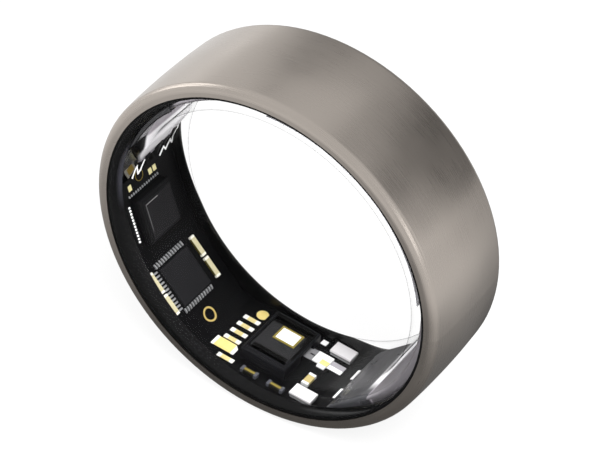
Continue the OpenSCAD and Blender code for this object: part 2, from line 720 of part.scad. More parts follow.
// two dark strips from the battery to the terminal, laid across the gap at a slant
strip_n = 2;
strip_w = 0.98;
strip_t = 0.06;
strip_gap = 0.1;
strip_slope_share = 0.3;
strip_start = 0.95;
strip_y_share = -0.13;
module battery_strips(grow = 0) color(black_plastic) intersection() {
    on_flat(ramp_a, ramp_r + over) linear_extrude(3 * over)
        for (i = [0:strip_n - 1]) let (y = bay_z * strip_y_share - i * (strip_w + strip_gap))
            polygon([for (s = [[0, 0], [1, 0], [1, -1], [0, -1]])
                let (run = s[0] == 0 ? strip_start - grow : ramp_l + top_l + grow)
                [ramp_u - run, y + grow + s[1] * (strip_w + 2 * grow) - run * strip_slope_share]]);
    in_ring() linear_extrude(2 * (bay_z - 2 * fit), center = true)
        polygon(concat(ramp_line(fit - grow), mirrored_line(ramp_line(fit + strip_t + grow))));
}

// filled ends of the battery: a flat ramp down to the board's left end and a rounded nose at its right end
ramp_l = 3.7;
top_l = 0.6;
nose_l = 1.35;
ramp_a0 = board_a0 - end_gap_a;
ramp_a1 = ramp_a0 - ramp_l / flex_r * 180 / PI;
ramp_top_a = cell_a1 + seal_a + end_gap_a;
nose_a0 = board_a1 + end_gap_a;
nose_a1 = nose_a0 + nose_l / flex_r * 180 / PI;
nose_top_a = cell_a0 + round_a - end_gap_a;
function at(r, a) = [r * cos(a), r * sin(a)];
function arc_line(r, a0, a1) = [for (i = [0:6]) at(r, a0 + (a1 - a0) * i / 6)];
function mirrored_line(p) = [for (i = [len(p) - 1:-1:0]) p[i]];
ramp_foot = at(flex_r, ramp_a0);
ramp_rise = at(cell_r0, ramp_a1) - ramp_foot;
ramp_a = atan2(ramp_rise[1], ramp_rise[0]) + 90;
ramp_r = ramp_foot * [cos(ramp_a), sin(ramp_a)];
ramp_u = ramp_foot * [-sin(ramp_a), cos(ramp_a)];
function ramp_line(d) = concat([ramp_foot - d * [cos(ramp_a), sin(ramp_a)]],
    arc_line(cell_r0 - d, ramp_a1, ramp_top_a));
module battery_end_shapes(grow) {
    turn = grow / flex_r * 180 / PI;
    polygon(concat([for (a = [ramp_a0 + turn]) if (grow > 0) at(flex_r - grow, a)], ramp_line(grow),
        arc_line(cell_r1 + grow, ramp_top_a - turn, ramp_a0 + turn)));
    polygon(concat(
        [for (i = [0:8]) let (a = 90 * i / 8)
            at(flex_r - grow - (flex_r - cell_r0) * sin(a), nose_a0 - turn + (nose_a1 - nose_a0) * (1 - cos(a)))],
        arc_line(cell_r0 - grow, nose_a1 + end_gap_a, nose_top_a + turn),
        arc_line(cell_r1 + grow, nose_top_a + turn, nose_a0 - turn)));
}
module battery_ends() color(foil) difference() {
    in_ring() linear_extrude(cell_w - 2 * fit, center = true) battery_end_shapes(0);
    terminal_block(fit);
    on_flat(module_a, module_r + over) block(module_l, module_w, module_h + over, 0, module_y, 0, fit);
}

// curved battery with rounded pouch edges, its sealed edge and its two tabs
module battery_cell() {
    steps = 5;
    arc = [for (i = [0:steps]) let (a = 90 * i / steps) cell_round * [cos(a), sin(a)]];
    z = cell_w / 2 - cell_round;
    outline = concat(
        [for (p = arc) [cell_r1 - cell_round + p[0], z + p[1]]],
        [for (i = [steps:-1:0]) [cell_r0 + cell_round - arc[i][0], z + arc[i][1]]],
        [for (p = arc) [cell_r0 + cell_round - p[0], -z - p[1]]],
        [for (i = [steps:-1:0]) [cell_r1 - cell_round + arc[i][0], -z - arc[i][1]]]);
    color(foil) in_ring() rotate([0, 0, cell_a0])
        rotate_extrude(angle = cell_a1 - cell_a0, $fn = fine) polygon(outline);
}
seal_fold_t = 0.12;
cell_mid_r = (cell_r0 + cell_r1) / 2;
module battery_seal() color(foil)
    band(cell_mid_r, cell_mid_r + seal_fold_t, -cell_w / 2 + cell_round, cell_w / 2 - cell_round,
        cell_a1 + end_gap_a / 2, seal_a - end_gap_a / 2);
tab_w = 0.9;
tab_t = 0.08;
tab_z_shares = [0.2, 0.8];
module battery_tabs() color(tin)
    for (s = tab_z_shares)
        band(cell_mid_r - tab_t - fit, cell_mid_r - fit, bay_z * s - tab_w / 2, bay_z * s + tab_w / 2,
            cell_a1 + end_gap_a / 2, seal_a - end_gap_a);

// protection module of the battery, against the front edge
module_a = 168.5;
module_l = 2.9;
module_w = 1.3;
module_h = 0.62;
module_r = channel_r - fit - module_l * module_l / 8 / channel_r - fit;
module_y = -bay_z + fit + module_w / 2 + fit;
ridge_w = 0.34;
ridge_h = 0.14;
module protection_module() color(black_plastic) on_flat(module_a, module_r) {
    bevelled(module_l, module_w, module_h - ridge_h, 0, module_y, package_bevel);
    block(module_l - 2 * package_bevel, ridge_w, module_h - package_bevel, 0, module_y);
}

// foam tape behind the battery, ferrite and coil in front of it
film_a0 = 8;
film_a1 = 92;
module battery_tape() color(black_plastic)
    band(channel_r - fit - tape_t, channel_r - fit, -cell_w / 2 + over, cell_w / 2 - over,
        cell_a0 + end_gap_a, cell_a1 - cell_a0 - 2 * end_gap_a);
module ferrite_sheet() color("#3a3a3d")
    band(ferrite_r, ferrite_r + ferrite_t, air - bay_z, bay_z - air, film_a0, film_a1 - film_a0);

// flat charging coil: one track that winds inwards, each side one pitch shorter than the last;
// it is drawn flat over the middle of the film and pressed through its curve
track_gap = 0.44;
film_margin = 0.6;
coil_pitch = track_w + track_gap;
film_half_a = (film_a1 - film_a0) / 2;
film_half_l = coil_r * film_half_a * PI / 180;
coil_sag = coil_r * (1 - cos(film_half_a)) + coil_t + 2 * air;
function coil_s(k) = film_half_l - film_margin - max(0, k) * coil_pitch;
function coil_y(k) = bay_z - flare_l - fit - track_w / 2 - k * coil_pitch;
function flat_x(s) = coil_r * sin(s / coil_r * 180 / PI);
module coil_bar(s0, s1, y0, y1) {
    x0 = flat_x(s0 - track_w / 2);
    translate([x0, y0 - track_w / 2]) square([flat_x(s1 + track_w / 2) - x0, y1 - y0 + track_w]);
}
module charging_coil() color("#b87333") intersection() {
    on_flat((film_a0 + film_a1) / 2, coil_r + coil_t + air) linear_extrude(coil_sag)
        for (k = [0:coil_turns - 1]) {
            s = coil_s(k);
            y = coil_y(k);
            coil_bar(-coil_s(k - 1), s, y, y);
            coil_bar(s, s, -y, y);
            coil_bar(-s, s, -y, -y);
            coil_bar(-s, -s, -y, k == coil_turns - 1 ? 0 : coil_y(k + 1));
        }
    band(coil_r, coil_r + coil_t, -bay_z, bay_z);
}

outer_shell();
edge_seals();
resin_liner();
carrier();
bay_potting();
end_potting();
main_board();
board_plates();
motion_chip();
motion_chip_lid();
motion_chip_leads();
processor();
processor_leads();
bar_capacitors();
bar_capacitor_ends();
ring_pads();
contact_fingers();
ground_pads();
sensor_housing();
optical_chip();
photodiode_frame();
photodiode();
lamp_bases();
lamp_domes();
chip_capacitors();
capacitor_ends();
temperature_sensor();
temperature_pad();
temperature_tail();
test_pads();
solder_pads();
antenna_trace();
battery_terminal();
terminal_gilt();
battery_strips();
battery_cell();
battery_ends();
battery_seal();
battery_tabs();
protection_module();
battery_tape();
ferrite_sheet();
charging_coil();
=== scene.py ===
import math

import bpy
import numpy as np
from mathutils import Matrix, Vector


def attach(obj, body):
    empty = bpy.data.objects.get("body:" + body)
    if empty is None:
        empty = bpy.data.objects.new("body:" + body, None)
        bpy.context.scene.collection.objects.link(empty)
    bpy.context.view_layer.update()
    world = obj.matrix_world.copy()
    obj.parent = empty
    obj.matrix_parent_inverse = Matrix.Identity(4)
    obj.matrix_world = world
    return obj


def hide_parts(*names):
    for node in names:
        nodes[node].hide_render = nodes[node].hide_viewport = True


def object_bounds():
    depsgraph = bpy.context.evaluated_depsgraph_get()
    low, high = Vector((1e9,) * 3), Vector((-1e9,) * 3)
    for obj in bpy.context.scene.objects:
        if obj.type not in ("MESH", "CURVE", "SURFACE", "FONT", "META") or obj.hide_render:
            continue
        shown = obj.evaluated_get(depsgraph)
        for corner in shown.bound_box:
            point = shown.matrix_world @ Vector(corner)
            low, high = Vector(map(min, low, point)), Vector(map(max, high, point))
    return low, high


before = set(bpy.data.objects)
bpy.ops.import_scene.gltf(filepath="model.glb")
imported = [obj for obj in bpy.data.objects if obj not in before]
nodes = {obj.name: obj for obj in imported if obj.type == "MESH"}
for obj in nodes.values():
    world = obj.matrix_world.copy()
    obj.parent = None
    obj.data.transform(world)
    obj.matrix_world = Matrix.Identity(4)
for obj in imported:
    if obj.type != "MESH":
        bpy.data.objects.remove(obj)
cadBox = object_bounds()
mm = 0.001
yAxis = (0.0, 1.0, 0.0)  # the finger axis, from the front edge to the rear
print("frame loaded:", len(nodes), "nodes")


def linear(code):
    # sRGB hex to linear RGBA: a straight line up to 0.04045, a power of 2.4 above it
    srgb = np.array([int(code[i:i + 2], 16) / 255 for i in (1, 3, 5)])
    low = srgb / 12.92
    high = ((srgb + 0.055) / 1.055) ** 2.4
    return (*np.where(srgb <= 0.04045, low, high).tolist(), 1.0)


def addNode(tree, kind, values=None, links=None, **settings):
    node = tree.nodes.new(kind)
    for name, value in settings.items():
        setattr(node, name, value)
    for name, value in (values or {}).items():
        node.inputs[name].default_value = value
    for name, socket in (links or {}).items():
        tree.links.new(socket, node.inputs[name])
    return node


def newMaterial(name):
    material = bpy.data.materials.new(name)
    material.use_nodes = True
    tree = material.node_tree
    tree.nodes.clear()
    output = addNode(tree, "ShaderNodeOutputMaterial")
    where = addNode(tree, "ShaderNodeTexCoord").outputs["Object"]
    return material, tree, output, where


def measure(tree, where, axis):
    # a place along an axis in mm, or, for "turn", degrees round the finger axis counted from the left,
    # or, for "side", how far the surface faces the rear, or, for "ink", the piece's own mark
    if axis == "ink":
        return addNode(tree, "ShaderNodeAttribute", attribute_name="ink").outputs["Fac"]
    if axis == "side":
        way = addNode(tree, "ShaderNodeTexCoord").outputs["Normal"]
        return addNode(tree, "ShaderNodeSeparateXYZ", links={0: way}).outputs[1]
    if axis == "turn":
        parts = addNode(tree, "ShaderNodeSeparateXYZ", links={0: where})
        minus = [addNode(tree, "ShaderNodeMath", {1: -1.0}, {0: parts.outputs[k]}, operation="MULTIPLY")
                 for k in (2, 0)]
        angle = addNode(tree, "ShaderNodeMath", {}, {0: minus[0].outputs[0], 1: minus[1].outputs[0]},
                        operation="ARCTAN2")
        return addNode(tree, "ShaderNodeMath", {}, {0: angle.outputs[0]}, operation="DEGREES").outputs[0]
    return addNode(tree, "ShaderNodeVectorMath", {1: tuple(c / mm for c in axis)}, {0: where},
                   operation="DOT_PRODUCT").outputs["Value"]


def zone(tree, where, windows, beyond=False):
    # 1 inside all windows, each of them (axis, middle, half width, softness) and the product of all taken;
    # with beyond it is 1 outside the first window and inside the others
    mask = None
    for number, (axis, middle, half, soft) in enumerate(windows):
        away = addNode(tree, "ShaderNodeMath", {1: middle}, {0: measure(tree, where, axis)},
                       operation="SUBTRACT")
        far = addNode(tree, "ShaderNodeMath", {}, {0: away.outputs[0]}, operation="ABSOLUTE")
        ends = (0.0, 1.0) if beyond and number == 0 else (1.0, 0.0)
        part = addNode(tree, "ShaderNodeMapRange", {
            "From Min": half - soft, "From Max": half + soft, "To Min": ends[0], "To Max": ends[1]},
            {"Value": far.outputs[0]}, interpolation_type="SMOOTHSTEP").outputs[0]
        mask = part if mask is None else addNode(
            tree, "ShaderNodeMath", {}, {0: mask, 1: part}, operation="MULTIPLY").outputs[0]
    return mask


# what a finish has unless its own look says otherwise
plainLook = {"metallic": 0.0, "shine": 0.06, "bump": 0.2, "liftMm": 0.002, "grainDetail": 1.5,
             "cloudMm": 1.5, "cloudDetail": 2.0, "grainRange": (0.25, 0.75), "zones": []}


def finish(name, look):
    # a surface with a grain: the mean of a fine and a cloudy noise turns its colour between two shades and
    # its gloss between two roughness values, and the fine one lifts it; zones have other colours
    look = {**plainLook, **look}
    material, tree, output, where = newMaterial(name)
    grain = addNode(tree, "ShaderNodeTexNoise", {
        "Scale": 1 / (look["grainMm"] * mm), "Detail": look["grainDetail"], "Roughness": 0.5},
        {"Vector": where})
    cloud = addNode(tree, "ShaderNodeTexNoise", {
        "Scale": 1 / (look["cloudMm"] * mm), "Detail": look["cloudDetail"]}, {"Vector": where})
    both = addNode(tree, "ShaderNodeMix", {"Factor": 0.5},
                   {2: grain.outputs["Fac"], 3: cloud.outputs["Fac"]}, data_type="FLOAT")
    colour = addNode(tree, "ShaderNodeMix", {6: linear(look["dark"]), 7: linear(look["light"])},
                     {0: both.outputs[0]}, data_type="RGBA").outputs[2]
    for code, windows, *beyond in look["zones"]:
        colour = addNode(tree, "ShaderNodeMix", {7: linear(code)}, {
            0: zone(tree, where, windows, bool(beyond)), 6: colour}, data_type="RGBA").outputs[2]
    gloss = addNode(tree, "ShaderNodeMapRange", {
        "From Min": look["grainRange"][0], "From Max": look["grainRange"][1],
        "To Min": look["rough"][0], "To Max": look["rough"][1]},
        {"Value": both.outputs[0]})
    lift = addNode(tree, "ShaderNodeBump", {
        "Strength": look["bump"], "Distance": look["liftMm"] * mm},
        {"Height": grain.outputs["Fac"]})
    shader = addNode(tree, "ShaderNodeBsdfPrincipled", {
        "Metallic": look["metallic"], "Specular IOR Level": look["shine"]},
        {"Base Color": colour, "Roughness": gloss.outputs[0], "Normal": lift.outputs[0]})
    tree.links.new(shader.outputs[0], output.inputs["Surface"])
    return material


def dress(material, *names):
    for name in names:
        slots = nodes[name].data.materials
        slots.clear()
        slots.append(material)


# camera, fitted to the photograph: ring upright, axis along Y, front edge towards -Y
view = {"azimuth": 32.024, "elevation": 40.413, "roll": 2.428, "distanceMm": 173.37,
        "lens": 166.1, "sensor": 36, "shiftX": 0.00735, "shiftY": 0.00793, "clip": (0.01, 5)}


def direction(azimuth, elevation):
    # unit vector: azimuth in degrees from the front, -Y, towards +X, and elevation up from the floor
    az, el = math.radians(azimuth), math.radians(elevation)
    return Vector((math.sin(az) * math.cos(el), -math.cos(az) * math.cos(el), math.sin(el)))


def makeCamera(look):
    # it looks at the bore's centre along the direction, turned about that by the roll
    back, roll = direction(look["azimuth"], look["elevation"]), math.radians(look["roll"])
    right = (-back).cross(Vector((0, 0, 1))).normalized()
    up = right.cross(-back)
    side = right * math.cos(roll) + up * math.sin(roll)
    top = up * math.cos(roll) - right * math.sin(roll)
    lens = bpy.data.cameras.new("photoCamera")
    lens.lens, lens.sensor_width = look["lens"], look["sensor"]
    lens.shift_x, lens.shift_y = look["shiftX"], look["shiftY"]
    lens.clip_start, lens.clip_end = look["clip"]
    camera = bpy.data.objects.new("photoCamera", lens)
    turn = Matrix((side, top, back)).transposed().to_4x4()
    camera.matrix_world = Matrix.Translation(back * look["distanceMm"] * mm) @ turn
    bpy.context.scene.collection.objects.link(camera)
    bpy.context.scene.camera = camera


makeCamera(view)
bpy.context.scene.view_settings.view_transform = "Standard"
print("camera placed")


def loftMesh(name, parts, closed=False, crease=40):
    # each part is an array (sections, points, 3) of closed sections; the last section joins the
    # first, or both end sections are closed by a face; faces turn outwards by the part's signed volume
    vertices, faces, count = [], [], 0
    for points in parts:
        sections, around, _ = points.shape
        index = np.arange(sections * around).reshape(sections, around)
        a = index if closed else index[:-1]
        b = np.roll(index, -1, 0) if closed else index[1:]
        quads = np.stack([a, b, np.roll(b, -1, 1), np.roll(a, -1, 1)], -1).reshape(-1, 4)
        flat = points.reshape(-1, 3)
        corners = flat[quads]
        volume = np.einsum("ij,ij->", np.cross(corners[:, 0], corners[:, 1]), corners[:, 2]) \
            + np.einsum("ij,ij->", np.cross(corners[:, 0], corners[:, 2]), corners[:, 3])
        own = quads.tolist() + ([] if closed else [index[0].tolist(), index[-1][::-1].tolist()])
        if volume < 0:
            own = [face[::-1] for face in own]
        faces += [[count + i for i in face] for face in own]
        vertices.append(flat)
        count += len(flat)
    mesh = bpy.data.meshes.new(name)
    mesh.from_pydata(np.concatenate(vertices).tolist(), [], faces)
    mesh.shade_smooth()
    mesh.set_sharp_from_angle(angle=math.radians(crease))
    mesh.update()
    piece = bpy.data.objects.new(name, mesh)
    bpy.context.scene.collection.objects.link(piece)
    return piece


def ringPoints(radius, turn, y):
    # radius and y in mm, turn in degrees round the finger axis, from the right towards the top
    radius, turn, y = np.broadcast_arrays(radius, np.radians(turn), y)
    return np.stack([radius * np.cos(turn), y, radius * np.sin(turn)], -1) * mm


def softened(values, width):
    # a running mean over 2 * width + 1 samples, the ends held
    padded = np.pad(values, width, mode="edge")
    return np.convolve(padded, np.ones(2 * width + 1) / (2 * width + 1), "valid")


def through(turn, turns, values):
    # straight lines through the points given by turns and values, in rising or falling order of turn
    order = np.argsort(turns)
    return np.interp(turn, np.array(turns, float)[order], np.array(values, float)[order])


# clear moulding: one solid of cast epoxy from the bore to the metal, over everything it holds
moulding = {"boreR": 10.3, "landHalf": 2.2, "easeW": 1.75, "easeH": 1.9, "power": 2.5,
            "faceY": 3.9, "skin": 0.03, "backR": 12.36, "rimR": 11.68, "stepY": 3.52,
            "turns": 256, "rows": 30, "skinRun": 0.4, "crease": 25}


def easedBore(y, m=moulding):
    # bore radius + easeH * (1 - (1 - s^power)^(1/power)), where s runs from 0 at the end of the
    # straight land to 1 at the edge
    s = np.clip((np.abs(y) - m["landHalf"]) / m["easeW"], 0, 1)
    return m["boreR"] + m["easeH"] * (1 - (1 - s ** m["power"]) ** (1 / m["power"]))


def makeMoulding(m):
    # the eased bore less a thin skin that grows over the first skinRun of the easing, then out over the
    # face, in at the rim and along the back
    y = np.concatenate([np.linspace(-m["faceY"], -m["landHalf"], m["rows"]),
                        np.linspace(m["landHalf"], m["faceY"], m["rows"])])
    grown = np.clip((np.abs(y) - m["landHalf"]) / m["easeW"] / m["skinRun"], 0, 1)
    r = easedBore(y) - m["skin"] * grown
    backY = np.array([m["faceY"], m["stepY"], m["stepY"], -m["stepY"], -m["stepY"], -m["faceY"]])
    backR = np.array([m["rimR"], m["rimR"], m["backR"], m["backR"], m["rimR"], m["rimR"]])
    turn = np.linspace(0, 360, m["turns"], endpoint=False)[:, None]
    points = ringPoints(np.concatenate([r, backR]), turn, np.concatenate([y, backY]))
    return loftMesh("clear_moulding", [points], closed=True, crease=m["crease"])


clearMoulding = makeMoulding(moulding)
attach(clearMoulding, "root")
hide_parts("resin_liner", "bay_potting", "end_potting")
print("clear moulding made")


# black inner frame: two eased edges under the clear skin, joined by a sheet behind the board. Where a
# share is 1 the edge fills the moulding up to its bore, and it tapers to a line at the rim where it is 0
blackFrame = {
    "rimR": 11.6, "cornerY": 3.3, "rimY": 3.88, "lipY": 3.5, "backR": 12.3, "sheetR": 12.2, "cornerR": 0.05,
    "rimStep": 0.02, "rows": 16, "blur": 3, "sheet": (157, 303), "sheetRows": 120,
    "front": ([118, 128, 140, 157, 168, 178, 192, 205, 222, 238, 250, 270, 287, 300, 310, 320, 331, 342],
              [0, 0.3, 0.45, 0.5, 0.5, 0.6, 0.8, 1, 1, 0.88, 0.78, 0.55, 0.42, 0.4, 0.32, 0.18, 0.07, 0]),
    "rear": ([166, 174, 185, 195, 205, 286, 291, 295, 298.5], [0, 0.1, 0.5, 0.8, 1, 1, 0.62, 0.25, 0]),
}


def frameEdge(f, side, turns, shares):
    # one section per degree: radius = rimR - (rimR - eased bore) * share, with a small rounded corner at
    # the board, and then back along the rim
    turn = np.arange(turns[0], turns[-1] + 0.5, 1.0)
    share = softened(through(turn, turns, shares), f["blur"])[:, None]
    y = np.linspace(f["cornerY"], f["rimY"], f["rows"])
    radius = f["rimR"] - (f["rimR"] - easedBore(y)) * share
    corner = radius[:, :1]
    radius = np.concatenate([corner + 2 * f["cornerR"], corner + f["cornerR"] / 3, radius], 1)
    y = np.concatenate([[f["cornerY"], f["cornerY"] + f["cornerR"] / 3], y[:1] + f["cornerR"], y[1:]])
    backY = [f["rimY"], f["lipY"], f["lipY"], f["cornerY"]]
    backR = [f["rimR"] + f["rimStep"], f["rimR"] + f["rimStep"], f["backR"], f["backR"]]
    radius = np.concatenate([radius, np.broadcast_to(backR, (len(turn), 4))], 1)
    return ringPoints(radius, turn[:, None], side * np.concatenate([y, backY]))


def makeFrame(f):
    # the sheet is a band from sheetR to backR, as broad as the bay
    turn = np.linspace(*f["sheet"], f["sheetRows"])[:, None]
    half = f["cornerY"]
    sheet = ringPoints(np.array([f["sheetR"], f["sheetR"], f["backR"], f["backR"]]), turn,
                       np.array([-half, half, half, -half]))
    return loftMesh("black_frame", [frameEdge(f, -1, *f["front"]), frameEdge(f, 1, *f["rear"]), sheet])


innerFrame = makeFrame(blackFrame)
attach(innerFrame, "root")
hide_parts("carrier")
print("black frame made")


# filled ends of the battery pouch: a ramp with a rounded shoulder at the left, a rounded nose at the right.
# Each is a run of sections round the ring; the section is a flat top with two rounded edges over a
# curved back, and its radius and its front edge come from softened lines through the points given here
pouchEnds = {
    "backR": 12.15, "rearY": 3.25, "round": 0.3, "step": 0.4, "blur": 2, "edgeRows": 7, "thinnest": 0.02,
    "ramp": {"turns": [181.3, 178.5, 176, 173, 170, 167, 165, 163.6, 162, 160.5, 159, 156, 150, 143],
             "radii": [12.06, 11.73, 11.45, 11.18, 10.95, 10.75, 10.64, 10.6, 10.64, 10.74, 10.83, 10.9,
                       10.91, 10.91],
             "frontY": [-0.1, -0.45, -0.85, -1.3, -1.7, -2.0, -2.1, -2.1, -2.05, -2.0, -1.95, -2.0,
                        -2.1, -2.5]},
    "nose": {"turns": [291.7, 292.3, 294, 297, 301, 306, 310, 313, 315.5],
             "radii": [12.06, 11.82, 11.48, 11.2, 10.99, 10.86, 10.81, 10.85, 10.95],
             "frontY": [-3] * 9},
}


def makePouchEnd(name, e, shape):
    # towards its two edges the top falls by round * (1 - sin) where it is round * (1 - cos) from the edge
    turns = np.array(shape["turns"], float)
    turn = np.arange(turns.min(), turns.max() + e["step"] / 2, e["step"])
    top = softened(through(turn, turns, shape["radii"]), e["blur"])[:, None]
    front = softened(through(turn, turns, shape["frontY"]), e["blur"])[:, None]
    bend = np.radians(np.linspace(0, 90, e["edgeRows"]))
    rise = e["round"] * (1 - np.sin(bend))
    inset = e["round"] * (1 - np.cos(bend))
    y = np.concatenate([front + inset, e["rearY"] - inset[::-1] + 0 * front,
                        e["rearY"] + 0 * front, front], 1)
    radius = np.minimum(np.concatenate([top + rise, top + rise[::-1]], 1), e["backR"] - e["thinnest"])
    radius = np.concatenate([radius, np.full((len(turn), 2), e["backR"])], 1)
    piece = loftMesh(name, [ringPoints(radius, turn[:, None], y)])
    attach(piece, "root")
    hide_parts("battery_ends")
    return piece


leftEnd = makePouchEnd("pouch_ramp", pouchEnds, pouchEnds["ramp"])
rightEnd = makePouchEnd("pouch_nose", pouchEnds, pouchEnds["nose"])
print("pouch ends made")


# two dark polyimide strips in the trough beside the ramp, from the terminal up to the battery
strips = {"thick": 0.06, "wallY": -3.25, "middle": (-2.1, -2.95), "gap": 0.08, "space": 0.05,
          "foldTurns": (132, 166), "foldDeep": 0.7, "foldThick": 0.1, "foldRows": 60, "rows": 80, "blur": 4,
          "turns": [180.5, 172, 164, 157, 150, 133], "radii": [12.0, 11.6, 11.2, 10.86, 10.84, 10.86]}


def makeStrips(s, ramp=pouchEnds["ramp"]):
    # the first runs along the front wall, the second along the ramp, both up on the end of the battery;
    # a fold of the first goes down before the battery's front side
    def bar(turn, low, high, depth):
        # sections with two corners on the strips' radius and two further out by the depth
        top = softened(through(turn, s["turns"], s["radii"]), s["blur"])[:, None]
        radius = np.concatenate([top, top, top + depth, top + depth], 1)
        return ringPoints(radius, turn[:, None], np.concatenate([low, high, high, low], 1))

    turn = np.linspace(s["turns"][-1], s["turns"][0], s["rows"])
    border = through(turn, ramp["turns"], ramp["frontY"])[:, None] - s["space"]
    middle = np.linspace(s["middle"][1], s["middle"][0], s["rows"])[:, None]
    wall = np.full_like(middle, s["wallY"])
    parts = [bar(turn, low, np.maximum(high, low + s["thick"]), s["thick"])
             for low, high in ((wall, middle - s["gap"] / 2), (middle + s["gap"] / 2, border))]
    low = np.full((s["foldRows"], 1), s["wallY"])
    parts.append(bar(np.linspace(*s["foldTurns"], s["foldRows"]), low, low + s["foldThick"], s["foldDeep"]))
    return loftMesh("dark_strips", parts)


darkStrips = makeStrips(strips)
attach(darkStrips, "root")
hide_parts("battery_strips")
print("strips made")


# solder joints of the motion chip: low domes in a row before its front side and one beside its left side
flats = {"motion": 198.75, "processor": 224.0, "sensor": 265.0}  # the turn of each flat's middle
joints = {"boardR": 11.53, "height": 0.1, "pitch": 0.235, "power": 3.0, "around": 14,
          "heightAngles": [0, 25, 50, 70, 84], "crease": 60,
          "front": {"count": 12, "first": 1.19, "at": -2.12, "half": (0.07, 0.09)},
          "left": {"count": 14, "first": 1.24, "at": -2.02, "half": (0.1, 0.055)}}


def along(flat):
    # unit vector along a flat, in the direction of rising turn
    angle = math.radians(flats[flat])
    return (-math.sin(angle), 0.0, math.cos(angle))


def outward(flat):
    # unit vector from the finger axis to the middle of a flat
    angle = math.radians(flats[flat])
    return (math.cos(angle), 0.0, math.sin(angle))


def makeJoints(j):
    # a superellipse of the given power, drawn in from the foot to the top by the cosine of the height angle
    spin = np.linspace(0, 2 * np.pi, j["around"], endpoint=False)
    uRound, yRound = (np.sign(c) * np.abs(c) ** (2 / j["power"]) for c in (np.cos(spin), np.sin(spin)))
    bend = np.radians(j["heightAngles"])[:, None]
    across, up = np.array(along("motion")), np.array(outward("motion"))
    parts = []
    for key in ("front", "left"):
        row = j[key]
        for k in range(row["count"]):
            step = row["first"] - k * j["pitch"]
            u0, y0 = (step, row["at"]) if key == "front" else (row["at"], step)
            u = u0 + row["half"][0] * uRound * np.cos(bend)
            y = y0 + row["half"][1] * yRound * np.cos(bend)
            r = j["boardR"] - j["height"] * np.sin(bend) + 0 * u
            spot = u[..., None] * across + y[..., None] * np.array(yAxis) + r[..., None] * up
            parts.append(spot * mm)
    return loftMesh("motion_chip_joints", parts, crease=j["crease"])


# printed silver antenna: a bent line along the foot of the ramp, with the dark teeth of its film on the
# foil. Corners are given by turn, y and radius
trace = {"width": 0.12, "thick": 0.03, "lift": 0.09, "toothLift": 0.06, "pieces": 6, "sharpest": 0.5,
         "lines": [[(183.7, -1.17, 11.94), (180.4, -0.6, 11.95), (183.6, -0.53, 11.94), (183.2, -0.2, 11.97),
                    (180.9, 0.33, 12.0)],
                   [(183.9, 1.82, 11.93), (182.3, 2.4, 12.02), (183.4, 2.54, 11.95), (181.6, 3.12, 12.0),
                    (182.9, 3.2, 11.92), (180.6, 3.2, 11.85), (174.2, 2.84, 11.29), (168.5, 2.1, 10.84)]],
         "teeth": [[(179.8, 0.35, 12.0), (178.9, 0.72, 11.9), (181.9, 0.97, 12.05), (182.6, 0.59, 12.0)],
                   [(178.6, 1.2, 12.0), (175.6, 1.55, 11.6), (180.9, 2.2, 11.98), (183.5, 1.61, 11.95)],
                   [(178.6, 2.12, 12.0), (176.8, 2.5, 11.9), (180.2, 3.02, 12.02), (182.6, 2.5, 11.97)],
                   [(176.9, 2.75, 11.9), (170.4, 1.95, 11.05), (173.4, 2.8, 11.4), (179.6, 3.2, 11.95)]]}


def onFloor(spot, lift, ramp=pouchEnds["ramp"]):
    # the given radius, or that of the board's left flat or of the ramp where it is less, and then less a lift
    turn, y, radius = spot[..., 0], spot[..., 1], spot[..., 2]
    flat = joints["boardR"] / np.cos(np.radians(turn - flats["motion"]))
    floor = np.where(turn > ramp["turns"][0], flat, through(turn, ramp["turns"], ramp["radii"]))
    return ringPoints(np.minimum(radius, floor) - lift, turn, y)


def makeTrace(t):
    # the line keeps its width at its corners: the sum of the two sides' normals, over 1 plus their dot
    # product, times half the width
    def slab(low, high, top, foot):
        return np.stack([onFloor(low, top), onFloor(high, top), onFloor(high, foot), onFloor(low, foot)], 1)

    parts = []
    share = np.linspace(0, 1, t["pieces"], endpoint=False)[:, None]
    for line in t["lines"]:
        line = np.array(line)
        spot = np.concatenate([a + (b - a) * share for a, b in zip(line[:-1], line[1:])] + [line[-1:]])
        scale = np.array([math.radians(1) * joints["boardR"], 1])  # mm in a degree of turn and in a mm of y
        way = np.diff(spot[:, :2] * scale, axis=0)
        way /= np.linalg.norm(way, axis=1)[:, None]
        normal = np.stack([-way[:, 1], way[:, 0]], -1)
        before, after = np.concatenate([normal[:1], normal]), np.concatenate([normal, normal[-1:]])
        spread = np.maximum(1 + np.sum(before * after, 1), t["sharpest"])[:, None]
        shift = np.zeros_like(spot)
        shift[:, :2] = (before + after) / spread * t["width"] / 2 / scale
        parts.append(slab(spot + shift, spot - shift, t["lift"] + t["thick"], t["lift"]))
    marked = sum(part.shape[0] * part.shape[1] for part in parts)
    for a, b, c, d in np.array(t["teeth"]):
        share = np.linspace(0, 1, 2 * t["pieces"])[:, None]
        parts.append(slab(a + (b - a) * share, d + (c - d) * share, t["toothLift"] + t["thick"] / 2, 0))
    piece = loftMesh("antenna_meander", parts)
    ink = np.zeros(len(piece.data.vertices), np.float32)  # 1 on the silver, 0 on the teeth
    ink[:marked] = 1
    piece.data.attributes.new("ink", "FLOAT", "POINT").data.foreach_set("value", ink)
    return piece


chipJoints = makeJoints(joints)
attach(chipJoints, "root")
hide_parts("motion_chip_leads")
antenna = makeTrace(trace)
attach(antenna, "root")
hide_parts("antenna_trace")
print("solder joints and antenna made")


